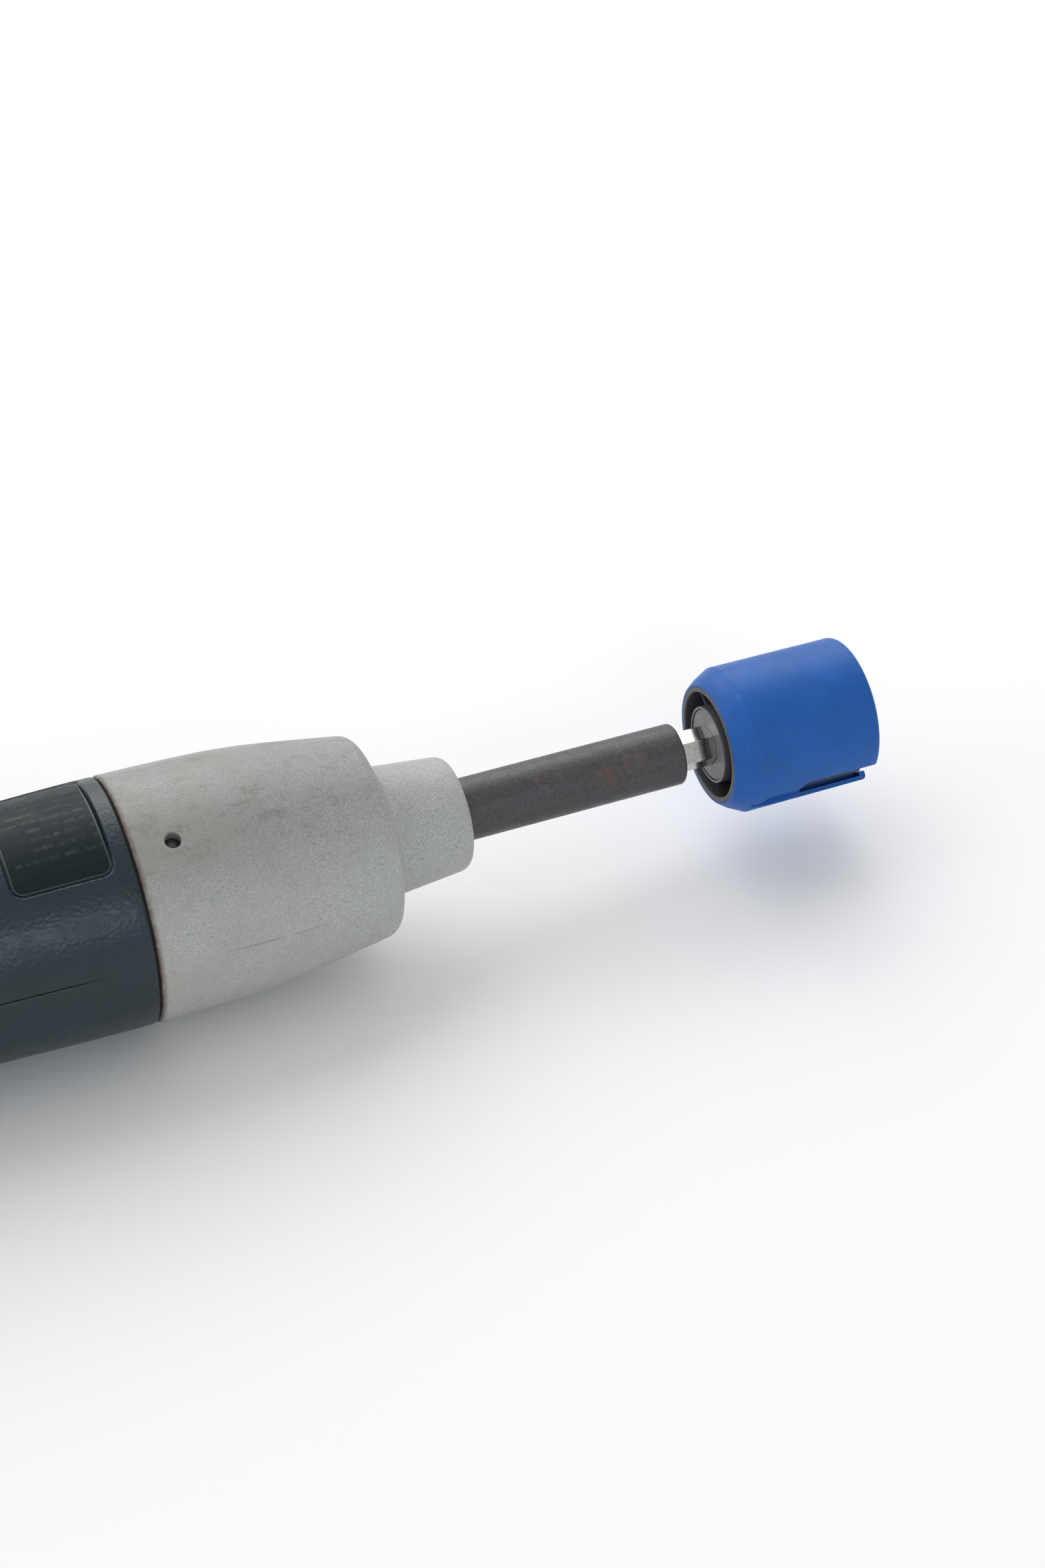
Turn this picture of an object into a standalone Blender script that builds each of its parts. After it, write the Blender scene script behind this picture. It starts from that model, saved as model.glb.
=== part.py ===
"""A powered string winder for guitar tuning keys: a rubber-lined winder head on a hex shank,
a black steel bit holder, and the cordless driver that turns them.

Run with: blender --background --python part.py

The driver lies on the flat keel under its handle. The spindle's axis runs along world +X, the
winder head at the +X end, +Z up. The origin is on the ground at the middle of the length.
Sizes are in millimetres; the helpers turn them into metres.
"""

import math

import bmesh
import bpy
from mathutils import Matrix, Vector

MM = 0.001
GAP = 0.1  # between pieces that touch on the real tool
ROUND = 32  # sides of the large round pieces
SMALL = 12  # sides of the pins and small round pieces

# ---------------------------------------------------------------- driving dimensions
TOTAL_LENGTH = 281.0
AXIS_HEIGHT = 22.0  # of the spindle above the ground, which the keel lies on

HEAD_LENGTH = 27.5
HEAD_RADIUS = 13.2
HEAD_RADIUS_REAR = 10.9  # where the rear bevel of the sleeve ends
HEAD_BEVEL = 3.8  # its length
SLEEVE_WALL = 1.6
SLOT_ANGLE = -30.0  # elevation of the side slot, on the -Y side
SLOT_WIDTH = 7.2
NECK_WIDTH = 4.2
CAVITY_HALF_LENGTH = 9.6  # the clear space inside the rubber lining
CAVITY_HALF_WIDTH = 5.0
LINER_WALL = 0.9

HEX_FLATS = 6.35  # a quarter-inch hex drive, across its flats
SOCKET_FLATS = 6.52
SHANK_SHOWING = 6.4  # between the bit holder and the head
HOLDER_RADIUS = 5.5
HOLDER_LENGTH = 48.1

SNOUT_FRONT = 65.1  # stations along X from here on
CASE_FRONT = 50.5
JOINT = 5.9  # of the case and the housing
CASE_RADIUS = 21.15

MODULE = 0.65
SUN_TEETH = 9
PLANET_TEETH = 18
RING_TEETH = SUN_TEETH + 2 * PLANET_TEETH
PRESSURE_ANGLE = math.radians(25)
ADDENDUM = 0.8 * MODULE
ROOT_CLEARANCE = 0.25 * MODULE
BACKLASH = 0.09
PLANET_ORBIT = MODULE * (SUN_TEETH + PLANET_TEETH) / 2
PIN_RADIUS = 1.5
PLANET_ANGLES = (0, 120, 240)

WALL = 2.2  # of the housing
SPLIT = 3.3  # height of the housing's parting plane above the axis
KEEL_HALF_WIDTH = 7.0
CAP_STATION = -134.0  # of the end cap's joint
SOCKET_HEIGHT = 9.0  # height of the charge socket above the axis
CASE_PIN_STATION = 12.9
CASE_PIN_ELEVATIONS = (62.0, 242.0)
SCREW_SPACING = 8.0  # of the motor's two screws from the axis

# ---------------------------------------------------------------- derived stations
MOUTH = TOTAL_LENGTH / 2
HEAD_REAR = MOUTH - HEAD_LENGTH
HOLDER_FRONT = HEAD_REAR - SHANK_SHOWING
HOLDER_REAR = HOLDER_FRONT - HOLDER_LENGTH
HOLDER_CLIP = HOLDER_FRONT - 5.5  # where the ring in the holder meets the winder shank's groove
REAR = -TOTAL_LENGTH / 2
HEX_CORNER = HEX_FLATS / math.sqrt(3)
SOCKET_CORNER = SOCKET_FLATS / math.sqrt(3)

# ---------------------------------------------------------------- scene and materials


def clear_scene():
    for obj in list(bpy.data.objects):
        bpy.data.objects.remove(obj)


def collection(name):
    made = bpy.data.collections.new(name)
    bpy.context.scene.collection.children.link(made)
    return made


def material(name, color, roughness, metallic=0.0):
    made = bpy.data.materials.new(name)
    made.use_nodes = True
    shader = made.node_tree.nodes["Principled BSDF"]
    shader.inputs["Base Color"].default_value = (*color, 1)
    shader.inputs["Roughness"].default_value = roughness
    shader.inputs["Metallic"].default_value = metallic
    made.diffuse_color = (*color, 1)
    return made


clear_scene()
PARTS = collection("powered_string_winder")
CUTTERS = collection("cutters")

BLUE = material("blue_soft_touch", (0.03, 0.12, 0.42), 0.55)
BLACK_PLASTIC = material("black_plastic", (0.012, 0.012, 0.014), 0.3)
RUBBER = material("black_rubber", (0.02, 0.02, 0.02), 0.8)
DISC_PLASTIC = material("grey_disc", (0.12, 0.12, 0.12), 0.45)
NICKEL = material("nickel_plated_steel", (0.66, 0.64, 0.6), 0.25, 1.0)
BLACK_STEEL = material("black_oxide_steel", (0.05, 0.045, 0.045), 0.5, 0.7)
GREY_CASE = material("grey_case", (0.36, 0.37, 0.36), 0.5)
GREEN = material("dark_green_housing", (0.018, 0.04, 0.05), 0.45)
LABEL = material("label", (0.012, 0.03, 0.035), 0.3)
STEEL = material("steel", (0.5, 0.5, 0.5), 0.3, 1.0)
MAGNET = material("magnet", (0.2, 0.2, 0.21), 0.5, 0.5)
BRONZE = material("sintered_bronze", (0.42, 0.26, 0.12), 0.5, 1.0)
BRASS = material("brass", (0.6, 0.42, 0.15), 0.35, 1.0)
NYLON = material("white_nylon", (0.7, 0.68, 0.6), 0.5)
ZINC = material("zinc_plated", (0.6, 0.6, 0.58), 0.35, 1.0)
COPPER = material("copper_winding", (0.5, 0.2, 0.08), 0.4, 1.0)
CELL_WRAP = material("cell_wrap", (0.5, 0.36, 0.05), 0.45)
RED_WIRE = material("red_wire", (0.45, 0.02, 0.02), 0.5)
BLACK_WIRE = material("black_wire", (0.02, 0.02, 0.02), 0.5)

# ---------------------------------------------------------------- frames
# A frame's local Z runs along world +X, its local X points up and its local Y to world -Y.
ALONG_SPINDLE = Matrix(((0, 0, 1), (0, -1, 0), (1, 0, 0))).to_4x4()


def frame(name, x=0.0, y=0.0, z=0.0):
    """An empty on a joint's axis. x, y and z are in the tool's frame, from the spindle's axis."""
    empty = bpy.data.objects.new(name, None)
    empty.matrix_world = Matrix.Translation(Vector((x, y, AXIS_HEIGHT + z)) * MM) @ ALONG_SPINDLE
    PARTS.objects.link(empty)
    return empty


def upright(name, x, y):
    """An empty that stands on a vertical axis, its origin level with the spindle's axis."""
    empty = bpy.data.objects.new(name, None)
    empty.location = Vector((x, y, AXIS_HEIGHT)) * MM
    PARTS.objects.link(empty)
    return empty


TOOL = frame("tool_frame")


def place(name, mesh, finish, parent=None, into=None):
    obj = bpy.data.objects.new(name, mesh)
    (into or PARTS).objects.link(obj)
    obj.parent = parent or TOOL
    if finish:
        obj.data.materials.append(finish)
    return obj


def helper(name, mesh, parent=None):
    """A cutter or a joined block: drawn as wire and left out of the build."""
    obj = place(name, mesh, None, parent, CUTTERS)
    obj.hide_render = True
    obj.display_type = "WIRE"
    return obj


# ---------------------------------------------------------------- shapes


def outline_mesh(name, points, closed):
    mesh = bpy.data.meshes.new(name)
    edges = [(i, i + 1) for i in range(len(points) - 1)]
    if closed:
        edges.append((len(points) - 1, 0))
    mesh.from_pydata([(r * MM, 0, x * MM) for r, x in points], edges, [])
    return mesh


def screw(obj, sides):
    turn = obj.modifiers.new("turn", "SCREW")
    turn.axis = "Z"
    turn.angle = 2 * math.pi
    turn.steps = turn.render_steps = sides
    turn.use_merge_vertices = True
    turn.merge_threshold = 0.00001
    turn.use_smooth_shade = False


def turned(name, points, finish, closed=False, sides=ROUND, parent=None):
    """A profile of (radius, station), down its outer side from the front, turned about the axis."""
    obj = place(name, outline_mesh(name, points, closed), finish, parent)
    screw(obj, sides)
    return obj


def turned_cutter(name, points, closed=False, sides=ROUND):
    obj = helper(name, outline_mesh(name, points, closed))
    screw(obj, sides)
    return obj


def cylinder_mesh(name, radius, low, high, sides, at=(0.0, 0.0), tip=None):
    """A cylinder along the frame's Z from low to high. at is its axis; tip is the far radius."""
    cylinder = bmesh.new()
    bmesh.ops.create_cone(
        cylinder,
        cap_ends=True,
        segments=sides,
        radius1=radius * MM,
        radius2=(radius if tip is None else tip) * MM,
        depth=(high - low) * MM,
        matrix=Matrix.Translation(Vector((at[0], at[1], (low + high) / 2)) * MM),
    )
    mesh = bpy.data.meshes.new(name)
    cylinder.to_mesh(mesh)
    cylinder.free()
    return mesh


def box_mesh(name, boxes, turn=0.0):
    """Boxes of (low, high) corners in the frame, all turned by the same angle about its Z."""
    made = bmesh.new()
    spin = Matrix.Rotation(math.radians(turn), 4, "Z")
    for low, high in boxes:
        low, high = Vector(low) * MM, Vector(high) * MM
        stretch = Matrix.Diagonal((*(high - low), 1))
        bmesh.ops.create_cube(made, size=1, matrix=spin @ Matrix.Translation((low + high) / 2) @ stretch)
    mesh = bpy.data.meshes.new(name)
    made.to_mesh(mesh)
    made.free()
    return mesh


def joined(meshes):
    """One mesh holding the separate solids of several."""
    together = bmesh.new()
    for mesh in meshes:
        together.from_mesh(mesh)
    together.to_mesh(meshes[0])
    together.free()
    return meshes[0]


def prism_mesh(name, loops, low, high):
    """Flat outlines in the frame's XY, filled with their holes, from station low to high."""
    curve = bpy.data.curves.new(name, "CURVE")
    curve.dimensions = "2D"
    curve.fill_mode = "BOTH"
    curve.extrude = (high - low) / 2 * MM
    for points in loops:
        spline = curve.splines.new("POLY")
        spline.points.add(len(points) - 1)
        for point, (x, y) in zip(spline.points, points):
            point.co = (x * MM, y * MM, 0, 1)
        spline.use_cyclic_u = True
    drawn = bpy.data.objects.new(name, curve)
    CUTTERS.objects.link(drawn)
    graph = bpy.context.evaluated_depsgraph_get()
    mesh = bpy.data.meshes.new_from_object(drawn.evaluated_get(graph))
    bpy.data.objects.remove(drawn)
    welded = bmesh.new()
    welded.from_mesh(mesh)
    bmesh.ops.remove_doubles(welded, verts=welded.verts, dist=0.000001)
    bmesh.ops.recalc_face_normals(welded, faces=welded.faces)
    bmesh.ops.translate(welded, verts=welded.verts, vec=(0, 0, (low + high) / 2 * MM))
    welded.to_mesh(mesh)
    welded.free()
    return mesh


def boolean(obj, other, operation="DIFFERENCE"):
    step = obj.modifiers.new(other.name, "BOOLEAN")
    step.operation = operation
    step.solver = "EXACT"
    step.object = other


def circle(radius, sides, centre=(0.0, 0.0), start=0.0):
    return [
        (
            centre[0] + radius * math.cos(start + 2 * math.pi * i / sides),
            centre[1] + radius * math.sin(start + 2 * math.pi * i / sides),
        )
        for i in range(sides)
    ]


def arc(radius, first, last, steps):
    """Points on an arc about the axis, from the first angle to the last, in degrees."""
    angles = [math.radians(first + (last - first) * i / steps) for i in range(steps + 1)]
    return [(radius * math.cos(a), radius * math.sin(a)) for a in angles]


def turned_points(points, degrees):
    c, s = math.cos(math.radians(degrees)), math.sin(math.radians(degrees))
    return [(x * c - y * s, x * s + y * c) for x, y in points]


def obround(half_length, half_width, steps=8):
    """A slot outline with round ends, its length along the slot angle of the winder head."""
    reach = half_length - half_width
    right = [
        (reach + half_width * math.cos(a), half_width * math.sin(a))
        for a in [math.pi * (i / steps - 0.5) for i in range(steps + 1)]
    ]
    return turned_points(right + [(-x, -y) for x, y in right], 90 - SLOT_ANGLE)


def hexagon(flats):
    return circle(flats / math.sqrt(3), 6, start=math.radians(30))


def c_ring(outer, inner, opening, steps=16):
    """The outline of an open ring, its opening centred on the frame's +X."""
    return arc(outer, opening / 2, 360 - opening / 2, steps) + arc(
        inner, 360 - opening / 2, opening / 2, steps
    )


# ---------------------------------------------------------------- gears


def involute(angle):
    return math.tan(angle) - angle


def gear_outline(teeth, tip, root, thickness, first_tooth=0.0):
    """Involute teeth with straight-sided roots. The first tooth's centre is at first_tooth."""
    pitch = MODULE * teeth / 2
    base = pitch * math.cos(PRESSURE_ANGLE)

    def half_angle(radius):
        at = math.acos(min(1.0, base / radius))
        return thickness / (2 * pitch) + involute(PRESSURE_ANGLE) - involute(at)

    flank = [(root, half_angle(max(base, root))), (tip, half_angle(tip))]
    points = []
    for tooth in range(teeth):
        centre = math.radians(first_tooth) + 2 * math.pi * tooth / teeth
        sides = [(r, centre - a) for r, a in flank] + [(r, centre + a) for r, a in reversed(flank)]
        points += [(r * math.cos(a), r * math.sin(a)) for r, a in sides]
    return points


TOOTH = math.pi * MODULE / 2 - BACKLASH


def external_gear(teeth, first_tooth=0.0):
    pitch = MODULE * teeth / 2
    return gear_outline(teeth, pitch + ADDENDUM, pitch - ADDENDUM - ROOT_CLEARANCE, TOOTH, first_tooth)


def ring_teeth():
    """The ring's inner outline: a gear as wide as the ring's tooth spaces, one at angle 0."""
    pitch = MODULE * RING_TEETH / 2
    space = math.pi * MODULE / 2 + BACKLASH
    return gear_outline(RING_TEETH, pitch + ADDENDUM + ROOT_CLEARANCE, pitch - ADDENDUM, space)


def on_orbit(angle):
    return (
        PLANET_ORBIT * math.cos(math.radians(angle)),
        PLANET_ORBIT * math.sin(math.radians(angle)),
    )


# ---------------------------------------------------------------- winder head


def slot_outline():
    """The side slot seen from outside: station along the head against distance from its middle."""
    wide, narrow = SLOT_WIDTH / 2, NECK_WIDTH / 2
    funnel, shoulder = HEAD_REAR + 12.0, HEAD_REAR + 13.6
    past_mouth = MOUTH + 2
    return [
        (past_mouth, wide),
        (shoulder, wide),
        (funnel, narrow),
        (funnel, -narrow),
        (shoulder, -wide),
        (past_mouth, -wide),
    ]


def side_cutter(name, outline, inner, outer):
    """A prism of (station, width) points that runs out along the slot angle from inner to outer."""
    obj = helper(name, prism_mesh(name, [outline], inner, outer))
    aim = math.radians(SLOT_ANGLE)
    outward = Vector((math.sin(aim), math.cos(aim), 0))
    along = Vector((0, 0, 1))
    across = outward.cross(along)
    obj.matrix_local = Matrix((along, across, outward)).transposed().to_4x4()
    return obj


def winder_head():
    bore = HEAD_RADIUS - SLEEVE_WALL
    sleeve = turned(
        "winder_sleeve",
        [
            (bore, MOUTH),
            (HEAD_RADIUS - 0.6, MOUTH),
            (HEAD_RADIUS, MOUTH - 0.6),
            (HEAD_RADIUS, HEAD_REAR + HEAD_BEVEL),
            (HEAD_RADIUS_REAR, HEAD_REAR),
            (HEAD_RADIUS_REAR - 0.05, HEAD_REAR),
            (bore, HEAD_REAR + 3),
        ],
        BLUE,
        closed=True,
    )
    core_radius, ring_inner, boss = bore - GAP, 9.7, 6.93
    core = turned(
        "winder_core",
        [
            (0, MOUTH - 0.7),
            (core_radius, MOUTH - 0.7),
            (core_radius, HEAD_REAR + 3),
            (HEAD_RADIUS_REAR - 0.17, HEAD_REAR),
            (ring_inner, HEAD_REAR),
            (ring_inner, HEAD_REAR + 5.5),
            (boss, HEAD_REAR + 5.5),
            (boss, HEAD_REAR),
            (boss - 0.35, HEAD_REAR),
            (boss - 0.35, HEAD_REAR + 1.8),
            (0, HEAD_REAR + 1.8),
        ],
        BLACK_PLASTIC,
    )
    floor = HEAD_REAR + 7.3
    cavity = obround(CAVITY_HALF_LENGTH + LINER_WALL + GAP, CAVITY_HALF_WIDTH + LINER_WALL + GAP)
    lining = obround(CAVITY_HALF_LENGTH + LINER_WALL, CAVITY_HALF_WIDTH + LINER_WALL)
    clear = obround(CAVITY_HALF_LENGTH, CAVITY_HALF_WIDTH)
    boolean(core, helper("core_cavity", prism_mesh("core_cavity", [cavity], floor, MOUTH + 2)))
    hex_well = prism_mesh("core_hex", [hexagon(SOCKET_FLATS)], HEAD_REAR, floor - 0.6)
    boolean(core, helper("core_hex", hex_well))
    ribs = []
    for step in range(6):
        rib = [((boss - 0.2, -0.45, HEAD_REAR + 2.2), (ring_inner + 0.2, 0.45, HEAD_REAR + 5.8))]
        ribs.append(box_mesh("core_ribs", rib, 60 * step))
    boolean(core, helper("core_ribs", joined(ribs)), "UNION")
    liner_floor = floor + GAP
    liner = place("winder_liner", prism_mesh("winder_liner", [lining], liner_floor, MOUTH - 1.0), RUBBER)
    boolean(liner, helper("liner_space", prism_mesh("liner_space", [clear], liner_floor + 1.1, MOUTH + 2)))
    through = side_cutter("side_slot", slot_outline(), CAVITY_HALF_WIDTH, HEAD_RADIUS + 3)
    for piece in (sleeve, core, liner):
        boolean(piece, through)
    narrow, start, end = NECK_WIDTH / 2, HEAD_REAR + 5.2, HEAD_REAR + 12.2
    groove = [(end, narrow), (start + 0.7, narrow), (start, narrow - 0.7), (HEAD_REAR + 2.6, 0.25)]
    groove += [(x, -y) for x, y in reversed(groove)]
    boolean(sleeve, side_cutter("neck_groove", groove, HEAD_RADIUS - 0.95, HEAD_RADIUS + 3))

    hex_mesh = prism_mesh("disc_hex", [hexagon(SOCKET_FLATS)], HEAD_REAR - 2, HEAD_REAR + 3)
    hex_hole = helper("disc_hex", hex_mesh)
    disc = cylinder_mesh("hub_disc", 6.48, HEAD_REAR + 0.15, HEAD_REAR + 1.1, ROUND)
    washer = cylinder_mesh("grip_washer", 6.2, HEAD_REAR + 1.2, HEAD_REAR + 1.65, ROUND)
    for mesh, finish in ((disc, DISC_PLASTIC), (washer, STEEL)):
        boolean(place(mesh.name, mesh, finish), hex_hole)
    hex_shank("winder_shank", HOLDER_FRONT - 13.2, floor - 0.8, HOLDER_CLIP, NICKEL)


def hex_shank(name, low, high, groove, finish):
    """A quarter-inch hex drive with a pointed tip and a round catch groove at a station."""
    shank = place(name, cylinder_mesh(name, HEX_CORNER, low, high, 6), finish)
    tip = turned_cutter(
        name + "_tip",
        [(HEX_CORNER + 2, low + 2), (HEX_CORNER + 2, low - 1), (HEX_CORNER - 1.7, low - 1)],
        closed=True,
        sides=24,
    )
    waist = turned_cutter(
        name + "_groove",
        [
            (HEX_CORNER + 1, groove + 1.4),
            (HEX_CORNER + 1, groove - 1.4),
            (HEX_CORNER - 0.75, groove - 0.6),
            (HEX_CORNER - 0.75, groove + 0.6),
        ],
        closed=True,
        sides=24,
    )
    boolean(shank, tip)
    boolean(shank, waist)


# ---------------------------------------------------------------- bit holder


def snap_ring(name, station):
    """A spring wire ring, open over 50 degrees, in the groove of a hex socket."""
    curve = bpy.data.curves.new(name, "CURVE")
    curve.dimensions = "3D"
    curve.bevel_depth = 0.2 * MM
    curve.bevel_resolution = 1
    curve.use_fill_caps = True
    points = arc(4.02, 25, 335, 18)
    spline = curve.splines.new("POLY")
    spline.points.add(len(points) - 1)
    for point, (x, y) in zip(spline.points, points):
        point.co = (x * MM, y * MM, station * MM, 1)
    return place(name, curve, STEEL)


def bit_holder():
    front, rear = HOLDER_FRONT, HOLDER_REAR
    sleeve = turned(
        "holder_sleeve",
        [
            (0, front),
            (4.3, front),
            (5.1, front - 0.25),
            (HOLDER_RADIUS, front - 0.8),
            (HOLDER_RADIUS, rear + 0.6),
            (HOLDER_RADIUS - 0.6, rear),
            (0, rear),
        ],
        BLACK_STEEL,
    )
    socket_floor, magnet_floor = front - 13.6, front - 17.2
    clip = HOLDER_CLIP
    holes = [
        prism_mesh("holder_socket", [hexagon(SOCKET_FLATS)], socket_floor, front + 2),
        cylinder_mesh("magnet_pocket", 3.2, magnet_floor, socket_floor + 0.5, SMALL),
        cylinder_mesh("holder_clip_groove", 4.35, clip - 0.45, clip + 0.45, ROUND),
        prism_mesh("holder_shank_hole", [hexagon(SOCKET_FLATS)], rear - 2, rear + 15.6),
        cylinder_mesh("holder_lead_in", 3.3, front - 0.5, front + 0.6, 24, tip=4.4),
    ]
    for mesh in holes:
        boolean(sleeve, helper(mesh.name, mesh))
    magnet = cylinder_mesh("holder_magnet", 3.0, magnet_floor + GAP, socket_floor - GAP, SMALL)
    place("holder_magnet", magnet, MAGNET)
    snap_ring("holder_clip_ring", clip)
    hex_shank("holder_shank", rear - 18.3, rear + 15.3, SPINDLE_CLIP, NICKEL)


# ---------------------------------------------------------------- spindle and gear train
PLATE_REAR = 8.0
STAGE_1 = (11.9, 17.1)
CARRIER_1 = (17.4, 19.6)
STAGE_2 = (20.2, 26.8)
FLANGE = (27.2, 30.2)
SPINDLE_FRONT = 57.0
SPINDLE_RADIUS = 6.5
SPIGOT_RADIUS, SPIGOT_REAR = 18.4, 0.3  # of the case's spigot inside the housing
SPINDLE_CLIP = 50.0  # where the ring in the socket meets the holder shank's groove
CIRCLIP = 56.15


def pin_holes(name, low, high):
    radius = PIN_RADIUS + GAP
    holes = [cylinder_mesh(name, radius, low, high, SMALL, on_orbit(a)) for a in PLANET_ANGLES]
    return helper(name, joined(holes))


def planet_pins(name, low, high):
    for number, angle in enumerate(PLANET_ANGLES, 1):
        pin = f"{name}_{number}"
        place(pin, cylinder_mesh(pin, PIN_RADIUS, low, high, SMALL, on_orbit(angle)), STEEL)


def planets(stage, low, high):
    bore = circle(PIN_RADIUS + GAP, SMALL)
    for number, angle in enumerate(PLANET_ANGLES, 1):
        name = f"stage{stage}_planet_{number}"
        x, y = on_orbit(angle)
        pin = frame(f"{name}_axis", 0, -y, x)
        mesh = prism_mesh(name, [external_gear(PLANET_TEETH, angle), bore], low, high)
        place(name, mesh, NYLON if stage == 1 else STEEL, pin)


def spindle():
    shaft = turned(
        "output_spindle",
        [
            (0, SPINDLE_FRONT),
            (SPINDLE_RADIUS, SPINDLE_FRONT),
            (SPINDLE_RADIUS, CIRCLIP + 0.5),
            (SPINDLE_RADIUS - 0.6, CIRCLIP + 0.5),
            (SPINDLE_RADIUS - 0.6, CIRCLIP - 0.5),
            (SPINDLE_RADIUS, CIRCLIP - 0.5),
            (SPINDLE_RADIUS, 34.5),
            (9.0, 34.0),
            (9.0, FLANGE[1]),
            (12.0, FLANGE[1]),
            (12.0, FLANGE[0]),
            (0, FLANGE[0]),
        ],
        STEEL,
    )
    clip = SPINDLE_CLIP
    hole = prism_mesh("spindle_socket", [hexagon(SOCKET_FLATS)], HOLDER_REAR - 19.5, SPINDLE_FRONT + 2)
    groove = cylinder_mesh("spindle_clip_groove", 4.35, clip - 0.45, clip + 0.45, ROUND)
    for mesh in (hole, groove):
        boolean(shaft, helper(mesh.name, mesh))
    boolean(shaft, pin_holes("stage2_pin_holes", FLANGE[0] - 1, FLANGE[1] + 1))
    snap_ring("spindle_clip_ring", clip)
    ring = c_ring(8.05, SPINDLE_RADIUS - 0.5, 50)
    place("spindle_circlip", prism_mesh("spindle_circlip", [ring], CIRCLIP - 0.4, CIRCLIP + 0.4), STEEL)
    planet_pins("stage2_pin", STAGE_2[0] + 0.2, FLANGE[1] - 0.2)


def first_stage():
    """The first carrier, moulded in one piece with its three pins and the second stage's sun gear."""
    low, high = CARRIER_1
    carrier = place("stage1_carrier", cylinder_mesh("stage1_carrier", 12.0, low, high, ROUND), STEEL)
    teeth = external_gear(SUN_TEETH, 180 / SUN_TEETH)
    sun = prism_mesh("carrier_sun", [teeth], low + 1, STAGE_2[1] - 0.2)
    boolean(carrier, helper("carrier_sun", sun), "UNION")
    for angle in PLANET_ANGLES:
        pin = cylinder_mesh("carrier_pin", PIN_RADIUS, STAGE_1[0] + 0.1, low + 1, SMALL, on_orbit(angle))
        boolean(carrier, helper("carrier_pin", pin), "UNION")


def gearbox():
    outer = circle(17.0, ROUND)
    ring = place("ring_gear", prism_mesh("ring_gear", [outer, ring_teeth()], 11.0, 27.0), STEEL)
    plate = place("gearbox_plate", cylinder_mesh("gearbox_plate", 17.0, PLATE_REAR, 10.6, ROUND), ZINC)
    boss = cylinder_mesh("boss_hole", 5.2, PLATE_REAR - 1, 12.0, ROUND)
    boolean(plate, helper("boss_hole", boss))
    for number, side in enumerate((-1, 1), 1):
        centre = frame(f"motor_screw_{number}_axis", y=SCREW_SPACING * side)
        at = (0, -SCREW_SPACING * side)
        hole = cylinder_mesh("plate_screw_hole", 1.35, PLATE_REAR - 3, 9.4, SMALL, at)
        sink = cylinder_mesh("plate_screw_sink", 1.35, 9.2, 10.8, SMALL, at, tip=2.95)
        for mesh in (hole, sink):
            boolean(plate, helper(mesh.name, mesh))
        turned(
            f"motor_screw_{number}",
            [(0, 10.5), (2.4, 10.5), (1.2, 9.3), (1.2, 3.6), (0, 3.6)],
            ZINC,
            sides=SMALL,
            parent=centre,
        )
    for elevation in CASE_PIN_ELEVATIONS:
        boolean(ring, helper("ring_pin_hole", radial_pin("ring_pin_hole", 1.4, 15.0, 25, elevation)))


def radial_pin(name, radius, inner, outer, elevation):
    """A cylinder that runs out from the axis at one case pin's place."""
    aim = math.radians(elevation)
    outward = Vector((math.sin(aim), math.cos(aim), 0))
    mesh = cylinder_mesh(name, radius, inner, outer, SMALL)
    turn = outward.to_track_quat("Z", "Y").to_matrix().to_4x4()
    mesh.transform(Matrix.Translation((0, 0, CASE_PIN_STATION * MM)) @ turn)
    return mesh


def gear_case():
    snout, front, rear = SNOUT_FRONT, CASE_FRONT, JOINT
    outside = [
        (6.1, snout),
        (7.4, snout),
        (9.2, snout - 0.5),
        (10.1, snout - 1.9),
        (10.75, snout - 6.2),
        (11.25, front + 0.8),
        (12.0, front + 0.1),
        (14.4, front - 0.5),
        (16.4, front - 1.8),
        (17.4, front - 3.4),
        (19.1, 39.5),
        (20.35, 30.3),
        (21.0, 20.0),
        (CASE_RADIUS, rear + 0.6),
        (CASE_RADIUS - 0.3, rear + 0.15),
        (SPIGOT_RADIUS, rear + 0.15),
        (SPIGOT_RADIUS, SPIGOT_REAR),
    ]
    inside = [
        (17.15, SPIGOT_REAR),
        (17.15, 31.0),
        (13.5, 34.5),
        (13.5, 36.5),
        (8.5, 36.5),
        (8.5, SPINDLE_FRONT + 0.4),
        (6.1, SPINDLE_FRONT + 0.4),
    ]
    case = turned("gear_case", outside + inside, GREY_CASE, closed=True)
    for number, elevation in enumerate(CASE_PIN_ELEVATIONS, 1):
        boolean(case, helper("case_pin_hole", radial_pin("case_pin_hole", 1.4, 15.0, 25, elevation)))
        name = f"case_pin_{number}"
        place(name, radial_pin(name, 1.25, 16.1, 19.4, elevation), STEEL)
    turned(
        "front_bushing",
        [(6.64, 55.0), (8.4, 55.0), (8.4, 36.8), (6.64, 36.8)],
        BRONZE,
        closed=True,
    )
    turned("thrust_washer", [(6.64, 55.6), (8.3, 55.6), (8.3, 55.1), (6.64, 55.1)], BRASS, closed=True)


# ---------------------------------------------------------------- motor
MOTOR_FRONT = 7.7
MOTOR_REAR = -29.0
MOTOR_RADIUS = 13.85


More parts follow.
